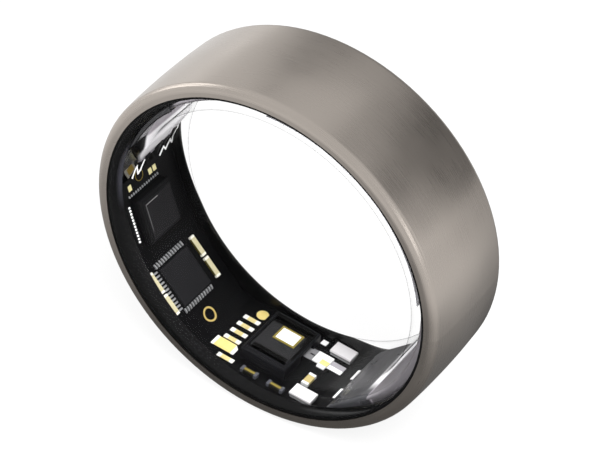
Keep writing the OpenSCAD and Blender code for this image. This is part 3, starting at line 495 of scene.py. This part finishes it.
# noise scales are per metre; for the lines every place is first stretched along the finger axis
titanium = {"dark": "#a39b94", "light": "#b3aba3", "range": (0.3, 0.7), "rough": (0.22, 0.36),
            "stretch": 50, "lineScale": 380, "lineMm": 0.002, "lineBump": 0.25, "cloudScale": 260,
            "waveScale": 150, "waveMm": 0.2, "waveBump": 0.7,
            "channelBlack": "#070707", "channelHalf": 3.52, "channelR": 12.4}


def brushedTitanium(t=titanium):
    # bead-blasted titanium, brushed lightly round the ring: broad soft bands of grey with
    # hair-fine lines along the ring
    material, tree, output, where = newMaterial("brushed titanium")
    stretched = addNode(tree, "ShaderNodeMapping", {"Scale": (1, t["stretch"], 1)}, {"Vector": where})
    lines = addNode(tree, "ShaderNodeTexNoise", {"Scale": t["lineScale"], "Detail": 5.0, "Roughness": 0.65},
                    {"Vector": stretched.outputs["Vector"]})  # lines 0.05 mm wide and a few mm long
    cloud = addNode(tree, "ShaderNodeTexNoise", {"Scale": t["cloudScale"], "Detail": 3.0}, {"Vector": where})
    blend = addNode(tree, "ShaderNodeMix", {"Factor": 0.5},
                    {2: lines.outputs["Fac"], 3: cloud.outputs["Fac"]}, data_type="FLOAT")
    colour = addNode(tree, "ShaderNodeMix", {6: linear(t["dark"]), 7: linear(t["light"])},
                     {0: blend.outputs[0]}, data_type="RGBA")
    gloss = addNode(tree, "ShaderNodeMapRange", {
        "From Min": t["range"][0], "From Max": t["range"][1],
        "To Min": t["rough"][0], "To Max": t["rough"][1]}, {"Value": blend.outputs[0]})
    # a hand-finished face is never quite even: waves 7 mm long bend the soft bands
    waves = addNode(tree, "ShaderNodeTexNoise", {"Scale": t["waveScale"], "Detail": 1.0}, {"Vector": where})
    bend = addNode(tree, "ShaderNodeBump", {"Strength": t["waveBump"], "Distance": t["waveMm"] * mm},
                   {"Height": waves.outputs["Fac"]})
    lift = addNode(tree, "ShaderNodeBump", {"Strength": t["lineBump"], "Distance": t["lineMm"] * mm},
                   {"Height": lines.outputs["Fac"], "Normal": bend.outputs[0]})
    # the channel inside is made near black: nearer to the middle plane and to the axis than its walls
    inside = zone(tree, where, [(yAxis, 0.0, t["channelHalf"], 0.01)])
    flatWay = addNode(tree, "ShaderNodeVectorMath", {1: (1, 0, 1)}, {0: where}, operation="MULTIPLY")
    reach = addNode(tree, "ShaderNodeVectorMath", {}, {0: flatWay.outputs[0]}, operation="LENGTH")
    near = addNode(tree, "ShaderNodeMath", {1: t["channelR"] * mm}, {0: reach.outputs["Value"]},
                   operation="LESS_THAN")
    channelBlack = addNode(tree, "ShaderNodeMath", {}, {0: inside, 1: near.outputs[0]}, operation="MULTIPLY")
    colour = addNode(tree, "ShaderNodeMix", {7: linear(t["channelBlack"])},
                     {0: channelBlack.outputs[0], 6: colour.outputs[2]}, data_type="RGBA")
    shader = addNode(tree, "ShaderNodeBsdfPrincipled", {"Metallic": 1.0}, {
        "Base Color": colour.outputs[2], "Roughness": gloss.outputs[0], "Normal": lift.outputs[0]})
    tree.links.new(shader.outputs[0], output.inputs["Surface"])
    return material


epoxy = {"waveScale": 350, "waveMm": 0.01, "waveBump": 0.2, "rough": (0.02, 0.06), "ior": 1.1,
         "edge": "#4b4c50", "edgeFrom": 0.86, "edgeTo": 0.99, "edgeShare": 0.85}


def clearEpoxy(e=epoxy):
    # cast clear epoxy, polished: a sharp reflection over what lies in it, stronger at a low angle, and a
    # grey line where it is seen edge on. It doesn't bend what lies in it, because every piece was placed
    # where the photograph shows it through the epoxy
    material, tree, output, where = newMaterial("clear cast epoxy")
    waves = addNode(tree, "ShaderNodeTexNoise", {"Scale": e["waveScale"], "Detail": 1.0}, {"Vector": where})
    lift = addNode(tree, "ShaderNodeBump", {"Strength": e["waveBump"], "Distance": e["waveMm"] * mm},
                   {"Height": waves.outputs["Fac"]})
    gloss = addNode(tree, "ShaderNodeMapRange", {"To Min": e["rough"][0], "To Max": e["rough"][1]},
                    {"Value": waves.outputs["Fac"]})
    edge = addNode(tree, "ShaderNodeFresnel", {"IOR": e["ior"]}, {"Normal": lift.outputs[0]})
    side = addNode(tree, "ShaderNodeNewGeometry").outputs["Backfacing"]  # only front faces reflect
    share = addNode(tree, "ShaderNodeMix", {3: 0.0}, {0: side, 2: edge.outputs[0]}, data_type="FLOAT")
    clear = addNode(tree, "ShaderNodeBsdfTransparent", {"Color": (1, 1, 1, 1)})
    mirror = addNode(tree, "ShaderNodeBsdfAnisotropic", {"Color": (1, 1, 1, 1)},
                     {"Roughness": gloss.outputs[0], "Normal": lift.outputs[0]})
    both = addNode(tree, "ShaderNodeMixShader", links={
        0: share.outputs[0], 1: clear.outputs[0], 2: mirror.outputs[0]})
    graze = addNode(tree, "ShaderNodeLayerWeight", {"Blend": 0.5}, {"Normal": lift.outputs[0]})
    line = addNode(tree, "ShaderNodeMapRange", {
        "From Min": e["edgeFrom"], "From Max": e["edgeTo"], "To Max": e["edgeShare"]},
        {"Value": graze.outputs["Facing"]}, interpolation_type="SMOOTHSTEP")
    edgeLine = addNode(tree, "ShaderNodeBsdfTransparent", {"Color": linear(e["edge"])})
    last = addNode(tree, "ShaderNodeMixShader", links={
        0: line.outputs[0], 1: both.outputs[0], 2: edgeLine.outputs[0]})
    tree.links.new(last.outputs[0], output.inputs["Surface"])
    return material


# directions that the zones measure along, in mm from the ring's middle
uSensor, upSensor = along("sensor"), outward("sensor")
uMotion, upProcessor = along("motion"), outward("processor")
frontRowShade = (yAxis, -2.59, 0.4, 0.03)  # the capacitors along the front edge, where shade is painted
nearWhiteEdge = ("#e6e6e8", [(yAxis, -3.3, 0.52, 0.02)])  # a near-white band along a front edge

# each node's material and look; a zone is a colour and its windows, with a 1 behind them for beyond
looks = {
    # moulded silicone adhesive: a dull black line
    "edge_seals": ("black silicone sealant", dict(
        dark="#050505", light="#0b0b0c", rough=(0.45, 0.6), grainMm=0.2)),
    # black solder mask over woven glass: dark and slightly glossy
    "main_board": ("black solder mask", dict(
        dark="#060607", light="#0b0b0c", rough=(0.32, 0.42), grainMm=0.35)),
    # rolled stainless steel: plain grey
    "board_plates": ("steel stiffener plate", dict(
        dark="#77777b", light="#8d8d90", rough=(0.3, 0.4), grainMm=0.2, metallic=1.0)),
    # moulded epoxy compound of a chip: charcoal with a fine sandy grain
    "motion_chip": ("chip moulding compound", dict(
        dark="#0d0d0e", light="#121213", rough=(0.42, 0.55), grainMm=0.25)),
    # the same compound, lapped smooth, with a painted highlight as a light line along two of its edges
    "motion_chip_lid": ("lapped moulding compound", dict(
        dark="#151516", light="#1c1b1d", rough=(0.3, 0.42), grainMm=0.3,
        zones=[("#7b7b7b", [(uMotion, -1.13, 0.022, 0.01), (yAxis, -0.55, 0.62, 0.06)]),
               ("#5e5e5e", [(yAxis, -1.2, 0.022, 0.01), (uMotion, -0.15, 1.0, 0.06)])])),
    # moulded compound, thin package: near black, satin
    "processor": ("thin chip compound", dict(
        dark="#161617", light="#1d1d1f", rough=(0.36, 0.48), grainMm=0.3)),
    # matt tin over copper: grey, duller at the foot
    "processor_leads": ("tinned lead", dict(
        dark="#77787a", light="#9c9d9e", rough=(0.3, 0.42), grainMm=0.2, metallic=0.4)),
    # fired barium titanate: cream on top, with painted shade in olive on its sides
    "bar_capacitors": ("cream capacitor ceramic", dict(
        dark="#a29b7b", light="#c1ba9b", rough=(0.38, 0.5), grainMm=0.2,
        zones=[("#4d4727", [(upProcessor, 11.58, 0.1, 0.02)])])),
    # fired silver under tin: pale and bright
    "bar_capacitor_ends": ("tinned capacitor end", dict(
        dark="#dcd8c8", light="#f0eee2", rough=(0.28, 0.4), grainMm=0.2, metallic=0.2)),
    # electroless gold over nickel: warm yellow, evenly soft; where the pads lie by the ramp at the left end
    # they are dark brass, painted shade
    "ring_pads": ("gold plating", dict(
        dark="#bfa556", light="#dec884", rough=(0.28, 0.4), grainMm=0.2, metallic=0.5,
        zones=[("#6f6130", [("turn", 5.0, 12.0, 1.0)])])),
    # gold plated copper with solder drawn over both ends: white, gold in the middle
    "contact_fingers": ("gold plated finger", dict(
        dark="#cdbb78", light="#e6d9a2", rough=(0.28, 0.4), grainMm=0.2, metallic=0.25,
        zones=[("#f1f0ea", [(uSensor, -3.09, 0.3, 0.05), (yAxis, 0.6, 1.5, 0.1)], 1),
               ("#f1f0ea", [(uSensor, -2.47, 0.34, 0.05), (yAxis, -2.42, 0.4, 0.05)], 1)])),
    # the same on a wide pad: yellow between two white ends
    "ground_pads": ("gold plated pad", dict(
        dark="#dcc470", light="#f0dd96", rough=(0.28, 0.4), grainMm=0.25, metallic=0.25,
        zones=[("#f6f5f0", [(uSensor, -3.16, 0.66, 0.06), (yAxis, -1.47, 0.6, 0.05)], 1)])),
    # glass-filled liquid crystal polymer: near black, moulded satin, with painted shade in deep black round
    # the window, behind its rear wall and beside its right wall
    "sensor_housing": ("black liquid crystal polymer", dict(
        dark="#101011", light="#17171a", rough=(0.34, 0.46), grainMm=0.3,
        zones=[("#020202", [(yAxis, 2.24, 0.24, 0.03), (uSensor, -0.15, 1.5, 0.04)]),
               ("#020202", [(uSensor, 1.34, 0.12, 0.03), (yAxis, 0.9, 1.5, 0.05)])])),
    # black filter glass of the optical chip: smooth charcoal, with painted shade: a black band for the slot
    # before it and darker strips along its rear and right
    "optical_chip": ("dark filter glass", dict(
        dark="#232324", light="#2a2a2b", rough=(0.25, 0.35), grainMm=0.4,
        zones=[("#010101", [(yAxis, -0.73, 0.2, 0.015), (uSensor, -0.2, 1.3, 0.02)]),
               ("#030303", [(yAxis, 2.05, 0.2, 0.03)]),
               ("#060606", [(uSensor, 1.2, 0.2, 0.03), (yAxis, 1.6, 0.7, 0.05)])])),
    # gold ring of the diode: olive, with a brighter line
    "photodiode_frame": ("gilded frame", dict(
        dark="#6e6430", light="#a8984c", rough=(0.3, 0.4), grainMm=0.15, metallic=0.3)),
    # sintered white diode window: even and bright
    "photodiode": ("white diode glass", dict(
        dark="#f4f4f2", light="#ffffff", rough=(0.25, 0.35), grainMm=0.3)),
    # pressed alumina: light grey with a thin dark seam under the lamp
    "lamp_bases": ("alumina ceramic", dict(
        dark="#a3a3a5", light="#b9b9ba", rough=(0.38, 0.5), grainMm=0.2,
        zones=[("#4c4c50", [(upSensor, 11.1, 0.03, 0.015)]),
               ("#77777a", [(upSensor, 11.2, 0.025, 0.01)])])),
    # cast silicone with titania: matt white
    "lamp_domes": ("white silicone dome", dict(
        dark="#cbc9ca", light="#dad8d9", rough=(0.32, 0.45), grainMm=0.3,
        zones=[("#4c4c50", [(upSensor, 11.04, 0.03, 0.015)])])),
    # fired titanate: gold brown; the two at the front edge get painted shade, dark with a dim gold stripe
    "chip_capacitors": ("brown capacitor ceramic", dict(
        dark="#a4945a", light="#c6b682", rough=(0.36, 0.5), grainMm=0.15,
        zones=[("#1c1b17", [frontRowShade]),
               ("#7d6f36", [(yAxis, -2.57, 0.09, 0.05), (upSensor, 11.05, 0.06, 0.02)])])),
    # plated tin: bright, grey on the two in the shade of the front edge
    "capacitor_ends": ("tin plating", dict(
        dark="#dcdddd", light="#f4f4f3", rough=(0.28, 0.4), grainMm=0.15, metallic=0.2,
        zones=[("#505157", [frontRowShade])])),
    # glazed alumina: clean white
    "temperature_sensor": ("white ceramic sensor", dict(
        dark="#ececea", light="#ffffff", rough=(0.3, 0.42), grainMm=0.2)),
    # thin gold over nickel: pale lemon
    "temperature_pad": ("pale gold pad", dict(
        dark="#dccf7e", light="#ece2a4", rough=(0.3, 0.4), grainMm=0.15, metallic=0.1)),
    # clear film over tinned copper: grey, the long pad white in front
    "temperature_tail": ("tinned film tail", dict(
        dark="#747476", light="#8c8c8e", rough=(0.32, 0.45), grainMm=0.2,
        zones=[("#a7a4aa", [(uSensor, 3.71, 0.56, 0.02), (yAxis, 1.65, 0.25, 0.03)]),
               ("#f4f4f4", [(uSensor, 3.71, 0.56, 0.02), (yAxis, 1.2, 0.2, 0.03)])])),
    # thin gold, a little worn: pale straw
    "test_pads": ("gilt test pad", dict(
        dark="#b9b07c", light="#ddd6a8", rough=(0.3, 0.4), grainMm=0.15, metallic=0.2)),
    # fresh solder: white, smooth
    "solder_pads": ("tin solder", dict(
        dark="#eaeaea", light="#ffffff", rough=(0.25, 0.35), grainMm=0.2)),
    # nickel plated steel under film: grey
    "battery_terminal": ("nickel tab", dict(
        dark="#6a675f", light="#85827a", rough=(0.3, 0.42), grainMm=0.2, metallic=0.4)),
    # gold in the shade of the ramp: dark brass
    "terminal_gilt": ("gilt terminal", dict(
        dark="#5b4a1c", light="#7d6a30", rough=(0.3, 0.4), grainMm=0.2, metallic=0.3)),
    # rolled aluminium pouch foil: lilac grey, softly shining, faintly wrinkled
    "battery_cell": ("aluminium pouch foil", dict(
        dark="#b3aeb5", light="#c5c0c6", rough=(0.26, 0.36), grainMm=1.2, metallic=0.9, liftMm=0.01)),
    # the pouch foil folded on itself: lilac grey, a little duller
    "battery_seal": ("folded pouch seal", dict(
        dark="#aeaab1", light="#c9c5cb", rough=(0.3, 0.45), grainMm=0.4, metallic=0.8)),
    # rolled nickel: pale and bright
    "battery_tabs": ("nickel strip", dict(
        dark="#bdbdbf", light="#dcdcdc", rough=(0.25, 0.35), grainMm=0.2, metallic=0.9)),
    # potted protection circuit: black, satin
    "protection_module": ("black epoxy module", dict(
        dark="#111113", light="#19191b", rough=(0.36, 0.5), grainMm=0.25)),
    # acrylic foam: matt black, its front edge near white
    "battery_tape": ("black foam tape", dict(
        dark="#0e0e0f", light="#161617", rough=(0.7, 0.9), grainMm=0.2, zones=[nearWhiteEdge])),
    # sintered ferrite in film: dark grey, its front edge near white
    "ferrite_sheet": ("ferrite sheet", dict(
        dark="#2b2a2a", light="#3a3838", rough=(0.45, 0.6), grainMm=0.2, zones=[nearWhiteEdge])),
    # enamelled copper: warm red brown, near white at its front edge
    "charging_coil": ("copper coil", dict(
        dark="#a4603c", light="#c98358", rough=(0.25, 0.4), grainMm=0.2, metallic=0.9,
        zones=[nearWhiteEdge])),
    # these five stay under the pieces that stand for them and are dressed like them
    "carrier": ("black nylon core", dict(
        dark="#060606", light="#0d0d0e", rough=(0.3, 0.5), grainMm=0.3)),
    "battery_ends": ("pouch filling", dict(
        dark="#a9a6ab", light="#bebbc0", rough=(0.3, 0.4), grainMm=0.5)),
    "battery_strips": ("polyimide core", dict(
        dark="#17171a", light="#26262a", rough=(0.3, 0.45), grainMm=0.3)),
    "antenna_trace": ("silver base", dict(
        dark="#dfe0e0", light="#f8f8f8", rough=(0.32, 0.45), grainMm=0.15)),
    "motion_chip_leads": ("lead core", dict(
        dark="#d8d8d8", light="#f2f2f0", rough=(0.3, 0.4), grainMm=0.2)),
}
pieceLooks = [
    # injection moulded black nylon, polished in the mould: near black and glossy, with a painted sheen in
    # grey at the rear rim and in a soft band along the front edge at the left
    (innerFrame, ("black moulded nylon", dict(
        dark="#060606", light="#0b0b0c", rough=(0.16, 0.26), grainMm=0.6, shine=0.12, liftMm=0.001,
        zones=[("#8c8b8b", [(yAxis, 4.05, 0.3, 0.3)]),
               ("#303036", [(yAxis, -3.45, 0.14, 0.14), ("turn", -9.0, 10.0, 9.0)])]))),
    # aluminium foil stretched over the filled end: light grey, with a painted highlight nearly white on the
    # shoulder, painted shade darker at the foot and beyond the shoulder, and painted shade in black on its
    # front side
    (leftEnd, ("stretched pouch foil", dict(
        dark="#c9c7ca", light="#d8d6d9", rough=(0.3, 0.4), grainMm=1.5, shine=0.3,
        zones=[("#8a888e", [("turn", 3.0, 5.0, 4.5)]),
               ("#f6f5f7", [("turn", -18.6, 2.6, 1.5), (yAxis, 2.4, 2.4, 2.0)]),
               ("#8f8a90", [("turn", -31.5, 10.0, 0.7)]),
               ("#0b0b0c", [("side", -1.0, 0.45, 0.25)])]))),
    # the same foil over the nose, with painted shade of the board's end: dark grey, darker at its foot and
    # its front, dim lilac beyond the shoulder, and a painted highlight in white on the shoulder
    (rightEnd, ("shaded pouch foil", dict(
        dark="#505052", light="#5d5c5e", rough=(0.25, 0.35), grainMm=1.5, shine=0.3,
        zones=[("#2c2c2e", [("turn", 111.0, 1.2, 0.8)]),
               ("#37373a", [(yAxis, -3.0, 1.5, 0.8)]),
               ("#8f8890", [("turn", 139.5, 4.9, 0.3)]),
               ("#fbfafc", [("turn", 133.6, 1.5, 0.6), (yAxis, 1.1, 2.9, 0.7)])]))),
    # polyimide film: dark, glossy
    (darkStrips, ("dark polyimide strip", dict(
        dark="#151517", light="#222225", rough=(0.14, 0.24), grainMm=0.8, shine=0.5))),
    # printed silver ink: white with a dull bloom; the film's teeth are black
    (antenna, ("printed silver", dict(
        dark="#dfe0e0", light="#fafafa", rough=(0.32, 0.45), grainMm=0.15,
        zones=[("#08080a", [("ink", 0.0, 0.5, 0.1)])]))),
    # soldered joints: bright in front, dim beside the chip with painted shade
    (chipJoints, ("solder joint", dict(
        dark="#e2e2e2", light="#fbfbfb", rough=(0.25, 0.35), grainMm=0.2,
        zones=[("#77787a", [(uMotion, -2.02, 0.3, 0.05)])]))),
]

dress(brushedTitanium(), "outer_shell")
for node, (name, look) in looks.items():
    dress(finish(name, look), node)
clearResin = clearEpoxy()
clearMoulding.data.materials.append(clearResin)
dress(clearResin, "resin_liner", "bay_potting", "end_potting")
for piece, (name, look) in pieceLooks:
    piece.data.materials.append(finish(name, look))
print("materials made:", len(bpy.data.materials))


# white paper under the ring: matt, nearly pure white, with the ring's soft shadow. Its behind is a window of
# azimuth, counted from the back
paperFloor = {"level": -0.00002, "half": 1.5, "paper": "#f6f6f6", "seenWhite": 0.86, "mirrorWhite": 1.0,
              "nearMm": 8, "farMm": 50, "nearTone": 0.16, "farTone": 1.1,
              "behind": (5, 42, 8), "behindDrop": 0.42}


def window(tree, angle, middle, half, soft):
    # 1 inside middle +- half degrees, falling to 0 over soft degrees on both sides
    away = addNode(tree, "ShaderNodeMath", {1: math.radians(middle)}, {0: angle}, operation="SUBTRACT")
    far = addNode(tree, "ShaderNodeMath", {}, {0: away.outputs[0]}, operation="ABSOLUTE")
    return addNode(tree, "ShaderNodeMapRange", {
        "From Min": math.radians(half + soft), "From Max": math.radians(half)},
        {"Value": far.outputs[0]}, interpolation_type="SMOOTHSTEP").outputs[0]


def makeFloor(s):
    mesh = bpy.data.meshes.new("floor")
    half, z = s["half"], cadBox[0][2] + s["level"]
    corners = [(-half, -half, z), (half, -half, z), (half, half, z), (-half, half, z)]
    mesh.from_pydata(corners, [], [(0, 1, 2, 3)])
    floor = bpy.data.objects.new("floor", mesh)
    bpy.context.scene.collection.objects.link(floor)
    material, tree, output, where = newMaterial("white paper sweep")
    path = addNode(tree, "ShaderNodeLightPath")
    paper = addNode(tree, "ShaderNodeBsdfDiffuse", {"Color": linear(s["paper"])})
    # as the metal mirrors it, the floor has a painted shadow, dark under the ring, and a painted dimming
    # behind it, and is bright further out
    spot = addNode(tree, "ShaderNodeVectorMath", {1: (1, 1, 0)}, {0: where}, operation="MULTIPLY")
    reach = addNode(tree, "ShaderNodeVectorMath", {}, {0: spot.outputs[0]}, operation="LENGTH")
    far = addNode(tree, "ShaderNodeMapRange", {
        "From Min": s["nearMm"] * mm, "From Max": s["farMm"] * mm,
        "To Min": s["nearTone"], "To Max": s["farTone"]},
        {"Value": reach.outputs["Value"]}, interpolation_type="SMOOTHSTEP")
    axes = addNode(tree, "ShaderNodeSeparateXYZ", links={0: where})
    azimuth = addNode(tree, "ShaderNodeMath", {}, {0: axes.outputs[0], 1: axes.outputs[1]},
                      operation="ARCTAN2")
    behind = addNode(tree, "ShaderNodeMath", {1: -s["behindDrop"], 2: 1.0},
                     {0: window(tree, azimuth.outputs[0], *s["behind"])}, operation="MULTIPLY_ADD")
    mirrored = addNode(tree, "ShaderNodeMath", {}, {0: far.outputs[0], 1: behind.outputs[0]},
                       operation="MULTIPLY")
    level = addNode(tree, "ShaderNodeMix", {2: 1.0}, {
        0: path.outputs["Is Glossy Ray"], 3: mirrored.outputs[0]}, data_type="FLOAT")
    white = addNode(tree, "ShaderNodeEmission", {"Color": (1, 1, 1, 1)}, {"Strength": level.outputs[0]})
    seen = addNode(tree, "ShaderNodeMath", {1: s["seenWhite"]}, {0: path.outputs["Is Camera Ray"]},
                   operation="MULTIPLY")
    share = addNode(tree, "ShaderNodeMath", {1: s["mirrorWhite"]},
                    {0: path.outputs["Is Glossy Ray"], 2: seen.outputs[0]}, operation="MULTIPLY_ADD")
    both = addNode(tree, "ShaderNodeMixShader", links={
        0: share.outputs[0], 1: paper.outputs[0], 2: white.outputs[0]})
    tree.links.new(both.outputs[0], output.inputs["Surface"])
    mesh.materials.append(material)


# the studio: white all round, with dark cards behind the ring and bright ones beside it. Each is its azimuth
# from the back, elevation, half widths of both, softness in degrees, and what it multiplies the light by
cards = [
    (2.5, 17.5, 39, 21, 7, 0.40),
    (36, 20, 13, 13, 8, 0.34),
    (24, 51, 9, 5, 7, 0.62),
    (58, 4, 8, 16, 6, 1.5),
    (-50, -12, 12, 16, 8, 1.45),
    (-35, -55, 150, 22, 14, 0.32),
    (-99, 20, 7, 12, 7, 3.6),
    (117, 14, 6, 7, 7, 3.6),
]


def makeWorld():
    world = bpy.data.worlds.new("studio")
    world.use_nodes = True
    bpy.context.scene.world = world
    tree = world.node_tree
    tree.nodes.clear()
    way = addNode(tree, "ShaderNodeTexCoord").outputs["Generated"]
    axes = addNode(tree, "ShaderNodeSeparateXYZ", links={0: way})
    azimuth = addNode(tree, "ShaderNodeMath", {}, {0: axes.outputs[0], 1: axes.outputs[1]},
                      operation="ARCTAN2")
    elevation = addNode(tree, "ShaderNodeMath", {}, {0: axes.outputs[2]}, operation="ARCSINE")
    level = None
    for a, e, halfA, halfE, soft, factor in cards:
        mask = addNode(tree, "ShaderNodeMath", {}, {
            0: window(tree, azimuth.outputs[0], a, halfA, soft),
            1: window(tree, elevation.outputs[0], e, halfE, soft)},
            operation="MULTIPLY")
        part = addNode(tree, "ShaderNodeMath", {1: factor - 1, 2: 1.0}, {0: mask.outputs[0]},
                       operation="MULTIPLY_ADD").outputs[0]
        level = part if level is None else addNode(
            tree, "ShaderNodeMath", {}, {0: level, 1: part}, operation="MULTIPLY").outputs[0]
    path = addNode(tree, "ShaderNodeLightPath")
    light = addNode(tree, "ShaderNodeBackground", {"Color": (1, 1, 1, 1)}, {"Strength": level})
    white = addNode(tree, "ShaderNodeBackground", {"Color": (1, 1, 1, 1), "Strength": 1.0})
    both = addNode(tree, "ShaderNodeMixShader", links={
        0: path.outputs["Is Camera Ray"], 1: light.outputs[0], 2: white.outputs[0]})
    output = addNode(tree, "ShaderNodeOutputWorld")
    tree.links.new(both.outputs[0], output.inputs["Surface"])


# a soft round lamp, up and to the right of the camera; distance and size in metres
keyLamp = {"azimuth": 48, "elevation": 58, "distance": 0.16, "size": 0.09, "power": 0.45}


def makeLamp(name, k):
    back = direction(k["azimuth"], k["elevation"])
    data = bpy.data.lights.new(name, "AREA")
    data.shape, data.size, data.energy = "DISK", k["size"], k["power"]
    lamp = bpy.data.objects.new(name, data)
    lamp.location = back * k["distance"]
    lamp.visible_glossy = False  # its mirror image would speckle the clear epoxy
    lamp.rotation_euler = back.to_track_quat("Z", "Y").to_euler()
    bpy.context.scene.collection.objects.link(lamp)


makeFloor(paperFloor)
makeWorld()
makeLamp("keyLamp", keyLamp)
print("studio made")
